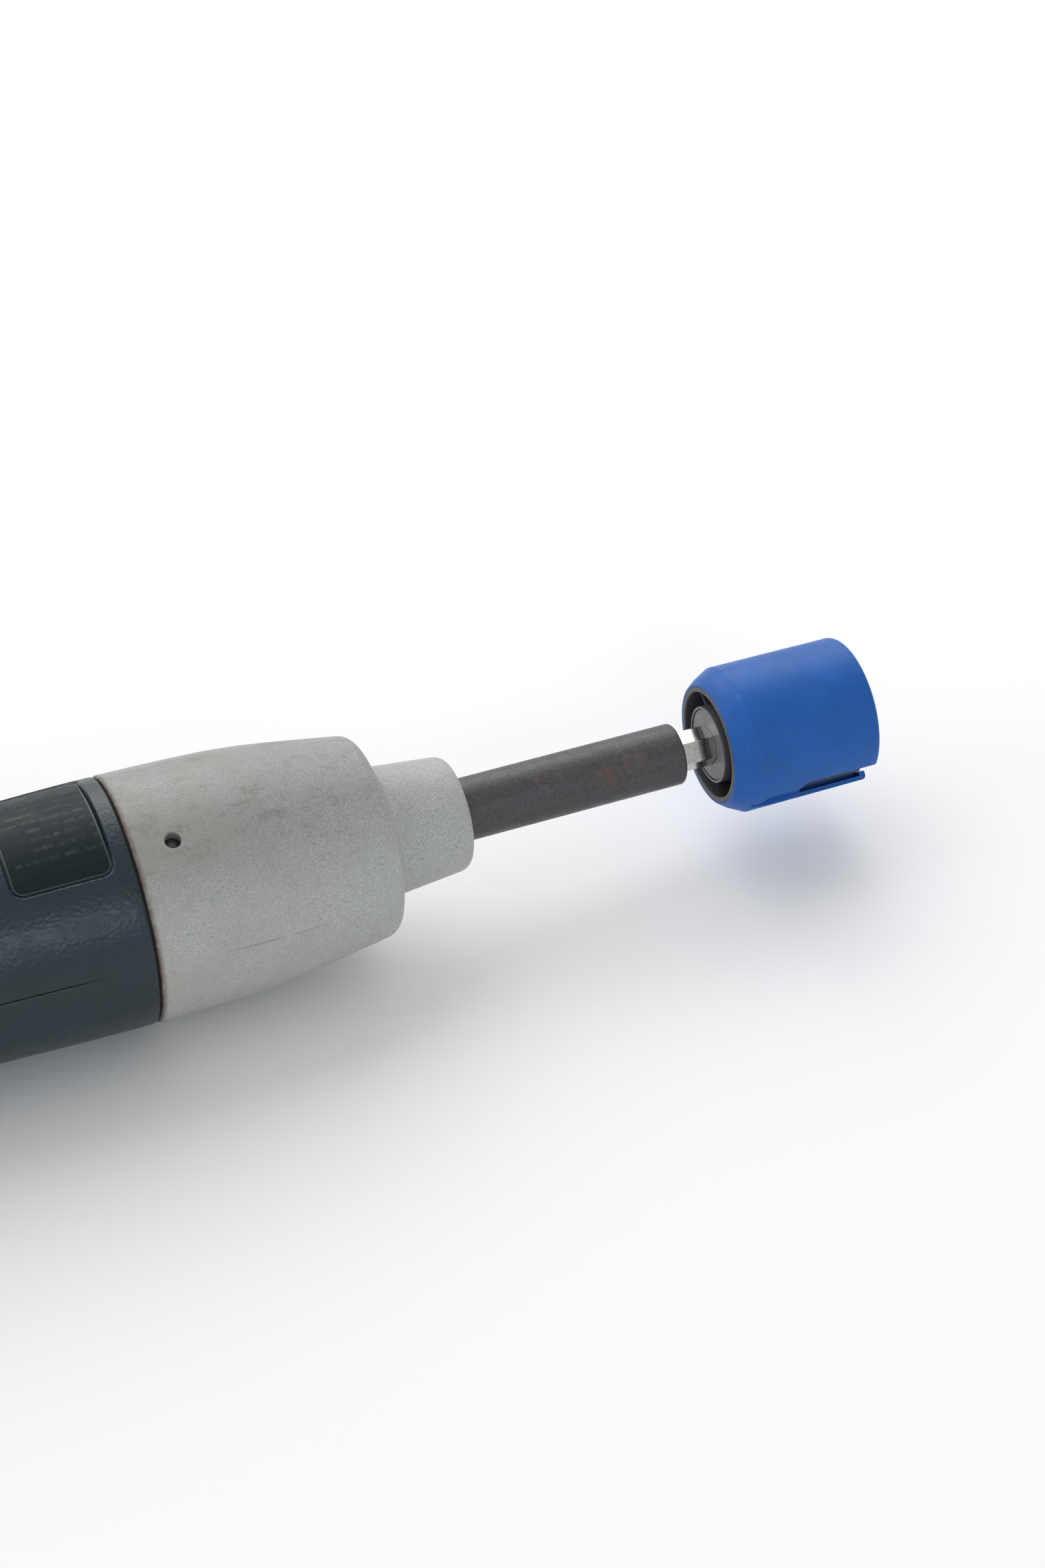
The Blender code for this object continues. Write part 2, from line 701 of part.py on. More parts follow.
def motor():
    can = turned(
        "motor_can",
        [
            (2.2, 9.9),
            (4.9, 9.9),
            (4.9, MOTOR_FRONT),
            (MOTOR_RADIUS - 0.6, MOTOR_FRONT),
            (MOTOR_RADIUS, MOTOR_FRONT - 0.6),
            (MOTOR_RADIUS, MOTOR_REAR),
            (MOTOR_RADIUS - 0.95, MOTOR_REAR),
            (MOTOR_RADIUS - 0.95, MOTOR_FRONT - 1.0),
            (2.2, MOTOR_FRONT - 1.0),
        ],
        ZINC,
        closed=True,
    )
    spots = [(0, SCREW_SPACING * side) for side in (-1, 1)]
    holes = [cylinder_mesh("can_screw_holes", 1.35, 5.0, 9.0, SMALL, at) for at in spots]
    boolean(can, helper("can_screw_holes", joined(holes)))
    turned(
        "motor_end_cap",
        [
            (1.35, MOTOR_REAR - GAP),
            (MOTOR_RADIUS, MOTOR_REAR - GAP),
            (MOTOR_RADIUS, MOTOR_REAR - 3),
            (5.0, MOTOR_REAR - 3),
            (4.5, MOTOR_REAR - 5.4),
            (1.35, MOTOR_REAR - 5.4),
        ],
        BLACK_PLASTIC,
        closed=True,
    )
    for number, first in enumerate((25, 205), 1):
        name = f"motor_magnet_{number}"
        outline = arc(12.75, first, first + 130, 10) + arc(10.1, first + 130, first, 10)
        place(name, prism_mesh(name, [outline], -24.0, 4.0), MAGNET)


def armature_outline(poles=5):
    """Pole shoes on narrow arms round the shaft."""
    points = []
    for pole in range(poles):
        centre = 360 * pole / poles
        points += arc(3.6, centre - 36, centre - 20, 1)
        points += arc(7.6, centre - 9, centre - 26, 1)
        points += arc(9.3, centre - 29, centre + 29, 4)
        points += arc(7.6, centre + 26, centre + 9, 1)
        points += arc(3.6, centre + 20, centre + 36, 1)[:1]
    return points


def rotor():
    shaft_bore = circle(1.2, SMALL)
    place("motor_shaft", cylinder_mesh("motor_shaft", 1.12, MOTOR_REAR - 4.6, STAGE_1[1], SMALL), STEEL)
    pinion = external_gear(SUN_TEETH, 180 / SUN_TEETH)
    place("motor_pinion", prism_mesh("motor_pinion", [pinion, shaft_bore], 11.2, 17.0), BRASS)
    place("armature", prism_mesh("armature", [armature_outline(), shaft_bore], -20.0, 1.0), COPPER)
    place("commutator", prism_mesh("commutator", [circle(2.7, 20), shaft_bore], -27.5, -21.0), COPPER)


# ---------------------------------------------------------------- housing
# Half-width of the handle at stations along X: the section above the keel is a circle.
HANDLE = [
    (JOINT - 0.15, 20.9),
    (JOINT - 0.55, 21.15),
    (-3.0, 21.25),
    (-9.0, 21.3),
    (-24.0, 20.9),
    (-40.0, 19.8),
    (-58.0, 18.95),
    (-82.0, 18.6),
    (-108.0, 19.2),
    (CAP_STATION + GAP, 19.95),
]
KEEL_ANGLE = math.atan2(KEEL_HALF_WIDTH, AXIS_HEIGHT)
KEEL_CORNER = math.hypot(KEEL_HALF_WIDTH, AXIS_HEIGHT)


def keel_share(station):
    """0 where the housing is round, ahead of the keel, and 1 where the keel is full."""
    return min(1.0, max(0.0, (3.0 - station) / 11.0))


def section_radius(half_width, keel, from_down):
    """The section's radius at an angle from straight down: a circle wrapped with the keel."""
    corner = half_width + (KEEL_CORNER - half_width) * keel
    angle = abs(from_down)
    if angle < KEEL_ANGLE:
        return max(half_width, corner * math.cos(KEEL_ANGLE) / math.cos(angle))
    tangent = KEEL_ANGLE + math.acos(half_width / corner)
    return half_width / math.cos(max(0.0, tangent - angle))


def handle_radius(station):
    """The handle's half-width between the stations of the table."""
    for (x0, r0), (x1, r1) in zip(HANDLE, HANDLE[1:]):
        if x1 <= station <= x0:
            return r0 + (r1 - r0) * (station - x0) / (x1 - x0)
    return HANDLE[-1][1]


def section(station, half_width, keel, angles):
    """Section points in the frame, at angles from straight down that grow towards world -Y."""
    points = []
    for angle in angles:
        radius = section_radius(half_width, keel, angle)
        points.append(Vector((-radius * math.cos(angle), radius * math.sin(angle), station)) * MM)
    return points


def loft(name, rings, closed):
    """An open sheet through rings of points. Blender's Solidify gives it its wall."""
    mesh = bpy.data.meshes.new(name)
    count = len(rings[0])
    faces = []
    for i in range(len(rings) - 1):
        for j in range(count if closed else count - 1):
            k = (j + 1) % count
            faces.append((i * count + j, i * count + k, (i + 1) * count + k, (i + 1) * count + j))
    mesh.from_pydata([p for ring in rings for p in ring], [], faces)
    return mesh


def shell(obj, wall):
    thick = obj.modifiers.new("wall", "SOLIDIFY")
    thick.thickness = wall * MM
    thick.offset = -1
    thick.use_even_offset = True


def split_angle(half_width, height):
    """Angle from straight down at which the section crosses a height above the axis."""
    return math.pi / 2 + math.asin(height / half_width)


def lower_angles(end):
    tangent = math.radians(44)
    down = [0.0, KEEL_ANGLE, math.radians(28), tangent]
    side = [tangent + (end - tangent) * i / 5 for i in range(1, 6)]
    half = down + side
    return [-a for a in reversed(half[1:])] + half


def upper_angles(start):
    steps = 14
    return [start + (2 * math.pi - 2 * start) * i / steps for i in range(steps + 1)]


LABEL_STATIONS = (-13.8, 2.5)
LABEL_ELEVATION = 53.8
OPENING = (-42.2, -66.2)
OPENING_HALF_WIDTH = 5.4
SCREW_PLACES = [(-44.0, 14.4), (-44.0, -14.4), (-128.0, 14.4), (-128.0, -14.4)]
POST_RADIUS = 2.8


def curved_patch(name, lift, thickness, margin, finish=None):
    """A patch that follows the top of the housing between the label's edges: a helper without a finish."""
    start = math.pi / 2 + math.radians(LABEL_ELEVATION) - margin / 21
    stations = [LABEL_STATIONS[1] + margin, -2.0, -8.0, LABEL_STATIONS[0] - margin]
    rings = []
    for station in stations:
        radius = handle_radius(station) + lift
        angles = [start + (2 * math.pi - 2 * start) * i / 10 for i in range(11)]
        rings.append(
            [Vector((-radius * math.cos(a), radius * math.sin(a), station)) * MM for a in angles]
        )
    mesh = loft(name, rings, False)
    obj = place(name, mesh, finish) if finish else helper(name, mesh)
    shell(obj, thickness)
    return obj


def vertical(name, radius, low, high, place_at, sides=SMALL, tip=None):
    """A cylinder that stands up from low to high above the axis, at (station, y)."""
    mesh = cylinder_mesh(name, radius, low, high, sides, tip=tip)
    station, y = place_at
    mesh.transform(Matrix.Translation(Vector((0, -y, station)) * MM) @ Matrix.Rotation(math.pi / 2, 4, "Y"))
    return mesh


def housing():
    lower_rings = []
    upper_rings = []
    under_skin = []
    whole_turn = [math.radians(10 * i) for i in range(-18, 18)]
    for station, half_width in HANDLE:
        keel = keel_share(station)
        lower_end = split_angle(half_width, SPLIT + 2)
        upper_start = split_angle(half_width, SPLIT - 2)
        lower_rings.append(section(station, half_width, keel, lower_angles(lower_end)))
        upper_rings.append(section(station, half_width, 0.0, upper_angles(upper_start)))
        under_skin.append(section(station, half_width - 0.4, 0.0, whole_turn))
    lower = place("lower_housing", loft("lower_housing", lower_rings, False), GREEN)
    upper = place("upper_housing", loft("upper_housing", upper_rings, False), GREEN)
    for half, low, high in ((lower, SPLIT - GAP / 2, 12), (upper, -12, SPLIT + GAP / 2)):
        shell(half, WALL)
        beyond = box_mesh("beyond_split", [((low, -30, REAR), (high, 30, JOINT + 5))])
        boolean(half, helper("beyond_split", beyond))

    boolean(upper, curved_patch("label_recess", 1.0, 1.35, 0.25))
    opening = [
        ((8, -OPENING_HALF_WIDTH, OPENING[1]), (26, OPENING_HALF_WIDTH, OPENING[0])),
    ]
    boolean(upper, helper("rocker_opening", box_mesh("rocker_opening", opening)))

    outside = helper("outside", loft("outside", under_skin, True))
    shell(outside, -8.0)
    for half, low, high in ((upper, SPLIT + 0.1, 10.6), (lower, -16.5, SPLIT - 0.1)):
        for at in SCREW_PLACES:
            post = helper("screw_post", vertical("screw_post", POST_RADIUS, low, high, at))
            boolean(post, outside)
            boolean(half, post, "UNION")
    for station, y in SCREW_PLACES:
        at = (station, y)
        boolean(upper, helper("upper_hole", vertical("upper_hole", 1.3, SPLIT - 1, 9.4, at)))
        boolean(lower, helper("lower_hole", vertical("lower_hole", 1.3, -12, SPLIT + 1, at)))
        boolean(lower, helper("lower_sink", vertical("lower_sink", 2.0, -26, -7.4, at)))
    bolt = [(0, 9.0), (1.2, 9.0), (1.2, -7.55), (1.85, -7.55), (1.85, -9.2), (0, -9.2)]
    for number, (station, y) in enumerate(SCREW_PLACES, 1):
        name = f"housing_screw_{number}"
        axis = upright(f"{name}_axis", station, y)
        screw(place(name, outline_mesh(name, bolt, False), ZINC, axis), SMALL)
    curved_patch("rating_label", -0.12, 0.16, 0.0, LABEL)


def end_cap():
    half_width = HANDLE[-1][1]
    outline = section(0, half_width, 1.0, lower_angles(math.radians(150)))
    outline += section(0, half_width, 1.0, [math.radians(a) for a in (165, 180, 195)])
    rings = []
    for station, share in ((CAP_STATION - GAP, 1.0), (REAR + 3.8, 1.0), (REAR + 1.4, 0.965), (REAR, 0.88)):
        rings.append([Vector((p.x * share, p.y * share, station * MM)) for p in outline])
    mesh = loft("end_cap", rings, True)
    closing = bmesh.new()
    closing.from_mesh(mesh)
    closing.verts.ensure_lookup_table()
    count = len(outline)
    last = [closing.verts[(len(rings) - 1) * count + j] for j in range(count)]
    closing.faces.new(last)
    bmesh.ops.recalc_face_normals(closing, faces=closing.faces)
    closing.to_mesh(mesh)
    closing.free()
    cap = place("end_cap", mesh, BLACK_PLASTIC)
    shell(cap, WALL)
    hole = cylinder_mesh("charge_hole", 3.95, REAR - 2, REAR + 4, 24, (SOCKET_HEIGHT, 0))
    boolean(cap, helper("charge_hole", hole))


def charge_socket():
    centre = frame("charge_socket_axis", z=SOCKET_HEIGHT)
    turned(
        "charge_socket",
        [
            (0, REAR + 11),
            (3.8, REAR + 11),
            (3.8, REAR + 0.3),
            (2.75, REAR + 0.3),
            (2.75, REAR + 9.6),
            (0, REAR + 9.6),
        ],
        BLACK_PLASTIC,
        sides=24,
        parent=centre,
    )


# ---------------------------------------------------------------- switch, cells and leads
ROCKER_PIVOT = (-54.2, 14.9)  # station, height above the axis


def switch():
    pivot = bpy.data.objects.new("rocker_axis", None)
    station, height = ROCKER_PIVOT
    pivot.location = Vector((station, 0, AXIS_HEIGHT + height)) * MM
    pivot.rotation_euler = (math.pi / 2, 0, 0)
    PARTS.objects.link(pivot)
    half, bottom, shoulder, top = 11.2, -1.9, 4.6, 6.6
    dish = [(-9.0 + 18.0 * i / 8, top - 1.7 * (1 - ((i - 4) / 4) ** 2)) for i in range(9)]
    outline = [(half, bottom), (half, shoulder), *dish[::-1], (-half, shoulder), (-half, bottom)]
    mesh = prism_mesh("switch_rocker", [outline, circle(1.0, SMALL)], -5, 5)
    place("switch_rocker", mesh, BLACK_PLASTIC, pivot)
    place("rocker_pin", cylinder_mesh("rocker_pin", 0.9, -6.1, 6.1, SMALL), STEEL, pivot)
    body = [((5.0, -4.8, station - 10), (11.0, 4.8, station + 10))]
    place("switch_body", box_mesh("switch_body", body), BLACK_PLASTIC)


CELL_DROP = -7.0
CELL_RADIUS = 11.25
CELL_STARTS = (-48.8, -92.2)
CELL_LENGTH = 41.6


def cells():
    centre = frame("cells_axis", z=CELL_DROP)
    for name, front in zip(("cell_front", "cell_rear"), CELL_STARTS):
        rear = front - CELL_LENGTH
        turned(
            name,
            [
                (0, front),
                (4.0, front),
                (4.0, front - 1.0),
                (CELL_RADIUS - 0.8, front - 1.0),
                (CELL_RADIUS, front - 1.8),
                (CELL_RADIUS, rear + 0.6),
                (CELL_RADIUS - 0.6, rear),
                (0, rear),
            ],
            CELL_WRAP,
            sides=24,
            parent=centre,
        )
    link = CELL_STARTS[0] - CELL_LENGTH
    strip = [((-4, -3, CELL_STARTS[1] + 0.5), (4, 3, link - 0.4))]
    place("cell_link", box_mesh("cell_link", strip), NICKEL, centre)


def smooth_route(points, steps=4):
    """Points along a Catmull-Rom curve through a route."""
    ends = [points[0] * 2 - points[1], *points, points[-1] * 2 - points[-2]]
    route = []
    for a, b, c, d in zip(ends, ends[1:], ends[2:], ends[3:]):
        for i in range(steps):
            t = i / steps
            square, cube = 2 * a - 5 * b + 4 * c - d, 3 * b - a - 3 * c + d
            route.append(b + 0.5 * ((c - a) * t + square * t**2 + cube * t**3))
    return route + [points[-1]]


def lead(name, side, finish):
    """An insulated wire from a motor terminal up to the front of the switch."""
    route = [
        (0.4, 9.0, -32.4),
        (0.9, 9.4, -35.5),
        (3.6, 8.6, -38.5),
        (7.4, 4.6, -40.6),
        (8.3, 2.8, -42.4),
        (8.3, 2.8, -43.9),
    ]
    points = smooth_route([Vector((x, y * side, z)) for x, y, z in route])
    curve = bpy.data.curves.new(name, "CURVE")
    curve.dimensions = "3D"
    curve.bevel_depth = 0.75 * MM
    curve.bevel_resolution = 1
    curve.use_fill_caps = True
    spline = curve.splines.new("POLY")
    spline.points.add(len(points) - 1)
    for point, place_at in zip(spline.points, points):
        point.co = (*(place_at * MM), 1)
    place(name, curve, finish)


# ---------------------------------------------------------------- the whole tool
winder_head()
bit_holder()
spindle()
first_stage()
planets(1, *STAGE_1)
planets(2, *STAGE_2)
gearbox()
gear_case()
motor()
rotor()
housing()
end_cap()
charge_socket()
switch()
cells()
lead("lead_red", 1, RED_WIRE)
lead("lead_black", -1, BLACK_WIRE)
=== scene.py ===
"""Looks for the powered string winder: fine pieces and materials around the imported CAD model.

Lengths are in millimetres in the tool's own terms: a station x along the spindle, a radius r from its
axis, and an elevation in degrees, which is 0 towards -Y, 90 straight up and 270 straight down.
"""

from math import acos, asin, atan2, ceil, cos, degrees, exp, hypot, pi, radians, sin, sqrt, tan

import bmesh
import bpy
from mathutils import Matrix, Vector


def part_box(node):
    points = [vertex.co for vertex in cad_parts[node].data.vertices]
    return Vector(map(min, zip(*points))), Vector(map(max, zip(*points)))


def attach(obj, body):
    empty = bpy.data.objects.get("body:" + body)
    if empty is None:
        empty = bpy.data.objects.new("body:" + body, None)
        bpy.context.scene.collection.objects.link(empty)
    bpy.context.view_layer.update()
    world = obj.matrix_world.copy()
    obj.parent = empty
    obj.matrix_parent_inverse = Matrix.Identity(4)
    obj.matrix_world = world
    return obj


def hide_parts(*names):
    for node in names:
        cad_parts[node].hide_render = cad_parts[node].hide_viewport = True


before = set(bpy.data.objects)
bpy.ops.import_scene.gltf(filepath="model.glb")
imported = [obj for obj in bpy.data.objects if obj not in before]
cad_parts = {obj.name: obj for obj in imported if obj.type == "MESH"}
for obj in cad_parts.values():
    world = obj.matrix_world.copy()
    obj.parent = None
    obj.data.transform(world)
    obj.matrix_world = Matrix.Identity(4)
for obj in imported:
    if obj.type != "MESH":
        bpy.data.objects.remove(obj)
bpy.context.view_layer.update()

MM = 0.001

# ---- stations, from the frame


def box_mm(node):
    low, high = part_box(node)
    return low / MM, high / MM


def numbered(stem, count):
    return [f"{stem}_{number}" for number in range(1, count + 1)]


def middle_of(node):
    low, high = box_mm(node)
    return (low + high) / 2


HOLDER_LOW, HOLDER_HIGH = box_mm("holder_sleeve")
AXIS_HEIGHT = (HOLDER_LOW.z + HOLDER_HIGH.z) / 2
HOLDER_RADIUS = (HOLDER_HIGH.z - HOLDER_LOW.z) / 2
HOLDER_REAR, HOLDER_FRONT = HOLDER_LOW.x, HOLDER_HIGH.x
SLEEVE_LOW, SLEEVE_HIGH = box_mm("winder_sleeve")
HEAD_REAR, MOUTH = SLEEVE_LOW.x, SLEEVE_HIGH.x
HEAD_RADIUS = (SLEEVE_HIGH.z - SLEEVE_LOW.z) / 2
CASE_LOW, CASE_HIGH = box_mm("gear_case")
SNOUT_FRONT = CASE_HIGH.x
SPIGOT_REAR = CASE_LOW.x
CASE_RADIUS = (CASE_HIGH.y - CASE_LOW.y) / 2
UPPER_LOW, UPPER_HIGH = box_mm("upper_housing")
HOUSING_FRONT, HOUSING_REAR = UPPER_HIGH.x, UPPER_LOW.x
SPLIT = UPPER_LOW.z - AXIS_HEIGHT
LABEL_LOW, LABEL_HIGH = box_mm("rating_label")
CAP_LOW, CAP_HIGH = box_mm("end_cap")
SOCKET_LOW, SOCKET_HIGH = box_mm("charge_socket")
ROCKER_LOW, ROCKER_HIGH = box_mm("switch_rocker")
LINER_LOW, LINER_HIGH = box_mm("winder_liner")
CORE_LOW, CORE_HIGH = box_mm("winder_core")
DISC_FACE = box_mm("hub_disc")[0].x

HEX_FLATS = 6.35
SLOT_ELEVATION = -30.0
SLOT_HALF, NECK_HALF = 3.5, 2.1  # half-widths of the head's side slot and of its narrow end
SLOT_START = HEAD_REAR + 13.9  # where the slot goes through the wall
BEVEL = 3.75  # length of the head's rear bevel
SLEEVE_WALL = 1.6
SOCKET_RADIUS = 3.75  # corners of the hex sockets
SIDES = 144  # of the large round pieces


def point(x, r, elevation):
    a = radians(elevation)
    return Vector((x, -r * cos(a), AXIS_HEIGHT + r * sin(a))) * MM


def smoothstep(low, high, value):
    t = min(1.0, max(0.0, (value - low) / (high - low)))
    return t * t * (3 - 2 * t)


def turned(u, v, a):
    """The point (u, v), turned by a radians about the origin."""
    return u * cos(a) - v * sin(a), u * sin(a) + v * cos(a)


def mirrored(side):
    """The outline whose one side this is, in (x, w) points."""
    return side + [(x, -w) for x, w in reversed(side)]


# ---- profiles


def rounded(corners, closed=False, step=18.0):
    """Corners (x, r) or (x, r, fillet) as a profile whose fillets are arcs."""
    count = len(corners)
    profile = []
    for i, corner in enumerate(corners):
        here = Vector(corner[:2])
        fillet = corner[2] if len(corner) > 2 else 0.0
        if not fillet or (not closed and i in (0, count - 1)):
            profile.append(here)
            continue
        back = Vector(corners[i - 1][:2]) - here
        ahead = Vector(corners[(i + 1) % count][:2]) - here
        half = back.angle(ahead) / 2
        reach = min(fillet / tan(half), 0.49 * back.length, 0.49 * ahead.length)
        radius = reach * tan(half)
        inward = (back.normalized() + ahead.normalized()).normalized()
        middle = here + inward * (radius / sin(half))
        start = here + back.normalized() * reach - middle
        end = here + ahead.normalized() * reach - middle
        turn = start.angle_signed(end)
        steps = max(2, ceil(abs(degrees(turn)) / step))
        for k in range(steps + 1):
            a = -turn * k / steps
            profile.append(middle + Vector(turned(start.x, start.y, a)))
    return [(p.x, p.y) for p in profile]


def dense(profile, longest, closed=False):
    """The profile with its long stretches split."""
    ends = profile[1:] + profile[:1] if closed else profile[1:]
    out = []
    for (x0, r0), (x1, r1) in zip(profile, ends):
        steps = max(1, ceil(hypot(x1 - x0, r1 - r0) / longest))
        out += [(x0 + (x1 - x0) * k / steps, r0 + (r1 - r0) * k / steps) for k in range(steps)]
    return out if closed else out + [profile[-1]]


def through(points, x):
    """A smooth curve through a table of (x, value), x falling, read at x."""
    if x >= points[0][0]:
        return points[0][1]
    for i in range(len(points) - 1):
        (x0, v0), (x1, v1) = points[i], points[i + 1]
        if x >= x1:
            before = points[i - 1] if i else points[i]
            after = points[i + 2] if i + 2 < len(points) else points[i + 1]
            slope0 = (v1 - before[1]) / (x1 - before[0])
            slope1 = (after[1] - v0) / (after[0] - x0)
            t = (x - x0) / (x1 - x0)
            span = x1 - x0
            return (
                v0 * (2 * t**3 - 3 * t**2 + 1)
                + slope0 * span * (t**3 - 2 * t**2 + t)
                + v1 * (3 * t**2 - 2 * t**3)
                + slope1 * span * (t**3 - t**2)
            )
    return points[-1][1]


def spaced(start, end, coarse, fine, zones):
    """Stations from start to end: fine steps inside the zones, coarse ones outside."""
    sign = 1 if end > start else -1
    stations = [start]
    while (end - stations[-1]) * sign > 1e-6:
        here = stations[-1]
        inside = any(low - 1e-6 <= here <= high + 1e-6 for low, high in zones)
        after = here + sign * (fine if inside else coarse)
        for edge in [e for zone in zones for e in zone]:
            if (edge - here) * sign > 1e-6 and (after - edge) * sign > 0:
                after = edge
        stations.append(end if (after - end) * sign > -0.3 * fine else after)
    return stations


# ---- meshes


def linked(name, data):
    obj = bpy.data.objects.new(name, data)
    bpy.context.scene.collection.objects.link(obj)
    return obj


def surface(name, rows, around=True, along=False, caps=False):
    """A mesh through rows of points. around closes each row, along joins the last row to the first,
    and caps closes the two end rows by pairing each point with its opposite."""
    made = bmesh.new()
    grid = [[made.verts.new(p) for p in row] for row in rows]
    count = len(rows[0])
    pairs = list(zip(grid, grid[1:])) + ([(grid[-1], grid[0])] if along else [])
    for row, after in pairs:
        for j in range(count if around else count - 1):
            k = (j + 1) % count
            made.faces.new((row[j], row[k], after[k], after[j]))
    if caps:
        for row in (grid[0], grid[-1]):
            for j in range(count // 2 - 1):
                made.faces.new((row[j], row[j + 1], row[-2 - j], row[-1 - j]))
    bmesh.ops.remove_doubles(made, verts=made.verts, dist=1e-7)
    bmesh.ops.recalc_face_normals(made, faces=made.faces)
    mesh = bpy.data.meshes.new(name)
    made.to_mesh(mesh)
    made.free()
    return linked(name, mesh)


def lathe(name, profile, closed=True, sides=SIDES, centre=None):
    """A profile of (x, r) turned about the spindle's axis, or about one at (y, z) from it."""
    shift = Vector((0, centre[0], centre[1])) * MM if centre else Vector()
    elevations = [360 * j / sides for j in range(sides)]
    rows = [[point(x, r, e) + shift for e in elevations] for x, r in profile]
    return surface(name, rows, along=closed)


def ring(name, corners, longest=99.0, sides=SIDES, centre=None):
    """A closed profile of rounded corners, turned about the axis."""
    profile = dense(rounded(corners, closed=True), longest, closed=True)
    return lathe(name, profile, sides=sides, centre=centre)


def cut(obj, *cutters, operation="DIFFERENCE"):
    """Takes the cutters out of the object for good."""
    for cutter in cutters:
        step = obj.modifiers.new("cut", "BOOLEAN")
        step.solver = "EXACT"
        step.operation = operation
        step.object = cutter
    graph = bpy.context.evaluated_depsgraph_get()
    obj.data = bpy.data.meshes.new_from_object(obj.evaluated_get(graph))
    obj.modifiers.clear()
    for cutter in cutters:
        bpy.data.objects.remove(cutter)
    return obj


def fillet_levels(depth, fillet, above=1.5, steps=4):
    """(height, widening) pairs of a cutter's wall: straight up, then out along a fillet."""
    levels = [(-depth, 0.0)]
    for k in range(steps + 1):
        a = pi / 2 * k / steps
        levels.append((-fillet * (1 - sin(a)), fillet * (1 - cos(a))))
    return levels + [(above, fillet)]


def pocket(outline, radius_at, elevation, reach, levels):
    """A cutter that follows a turned surface. outline is (x, w) points, w in mm round the surface from
    the elevation, symmetric about w = 0 in its order; reach is the radius that w is measured at."""
    count = len(outline)
    flat = [Vector(p) for p in outline]
    area = sum(a.x * b.y - b.x * a.y for a, b in zip(flat, flat[1:] + flat[:1]))
    outward = []
    for i in range(count):
        ahead, behind = flat[(i + 1) % count] - flat[i], flat[i] - flat[i - 1]
        along = ahead.normalized() + behind.normalized()
        normal = Vector((along.y, -along.x)).normalized()
        outward.append(normal if area > 0 else -normal)
    rows = []
    for height, widening in levels:
        row = []
        for at, normal in zip(flat, outward):
            x, w = at + normal * widening
            row.append(point(x, radius_at(x) + height, elevation + degrees(w / reach)))
        rows.append(row)
    return surface("cutter", rows, caps=True)


def rounded_box(half_x, half_w, fillet, x, steps=5):
    """A round-cornered outline, symmetric about w = 0 in its order."""
    corners = []
    for sign_x, sign_w, start in ((1, 1, 0), (-1, 1, 90), (-1, -1, 180), (1, -1, 270)):
        centre_x, centre_w = x + sign_x * (half_x - fillet), sign_w * (half_w - fillet)
        for k in range(steps + 1):
            a = radians(start + 90 * k / steps)
            corners.append((centre_x + fillet * cos(a), centre_w + fillet * sin(a)))
    return corners


def ring_outline(radius, x, sides=24):
    turns = [2 * pi * (j + 0.5) / sides for j in range(sides)]
    return [(x + radius * cos(a), radius * sin(a)) for a in turns]


# ---- materials


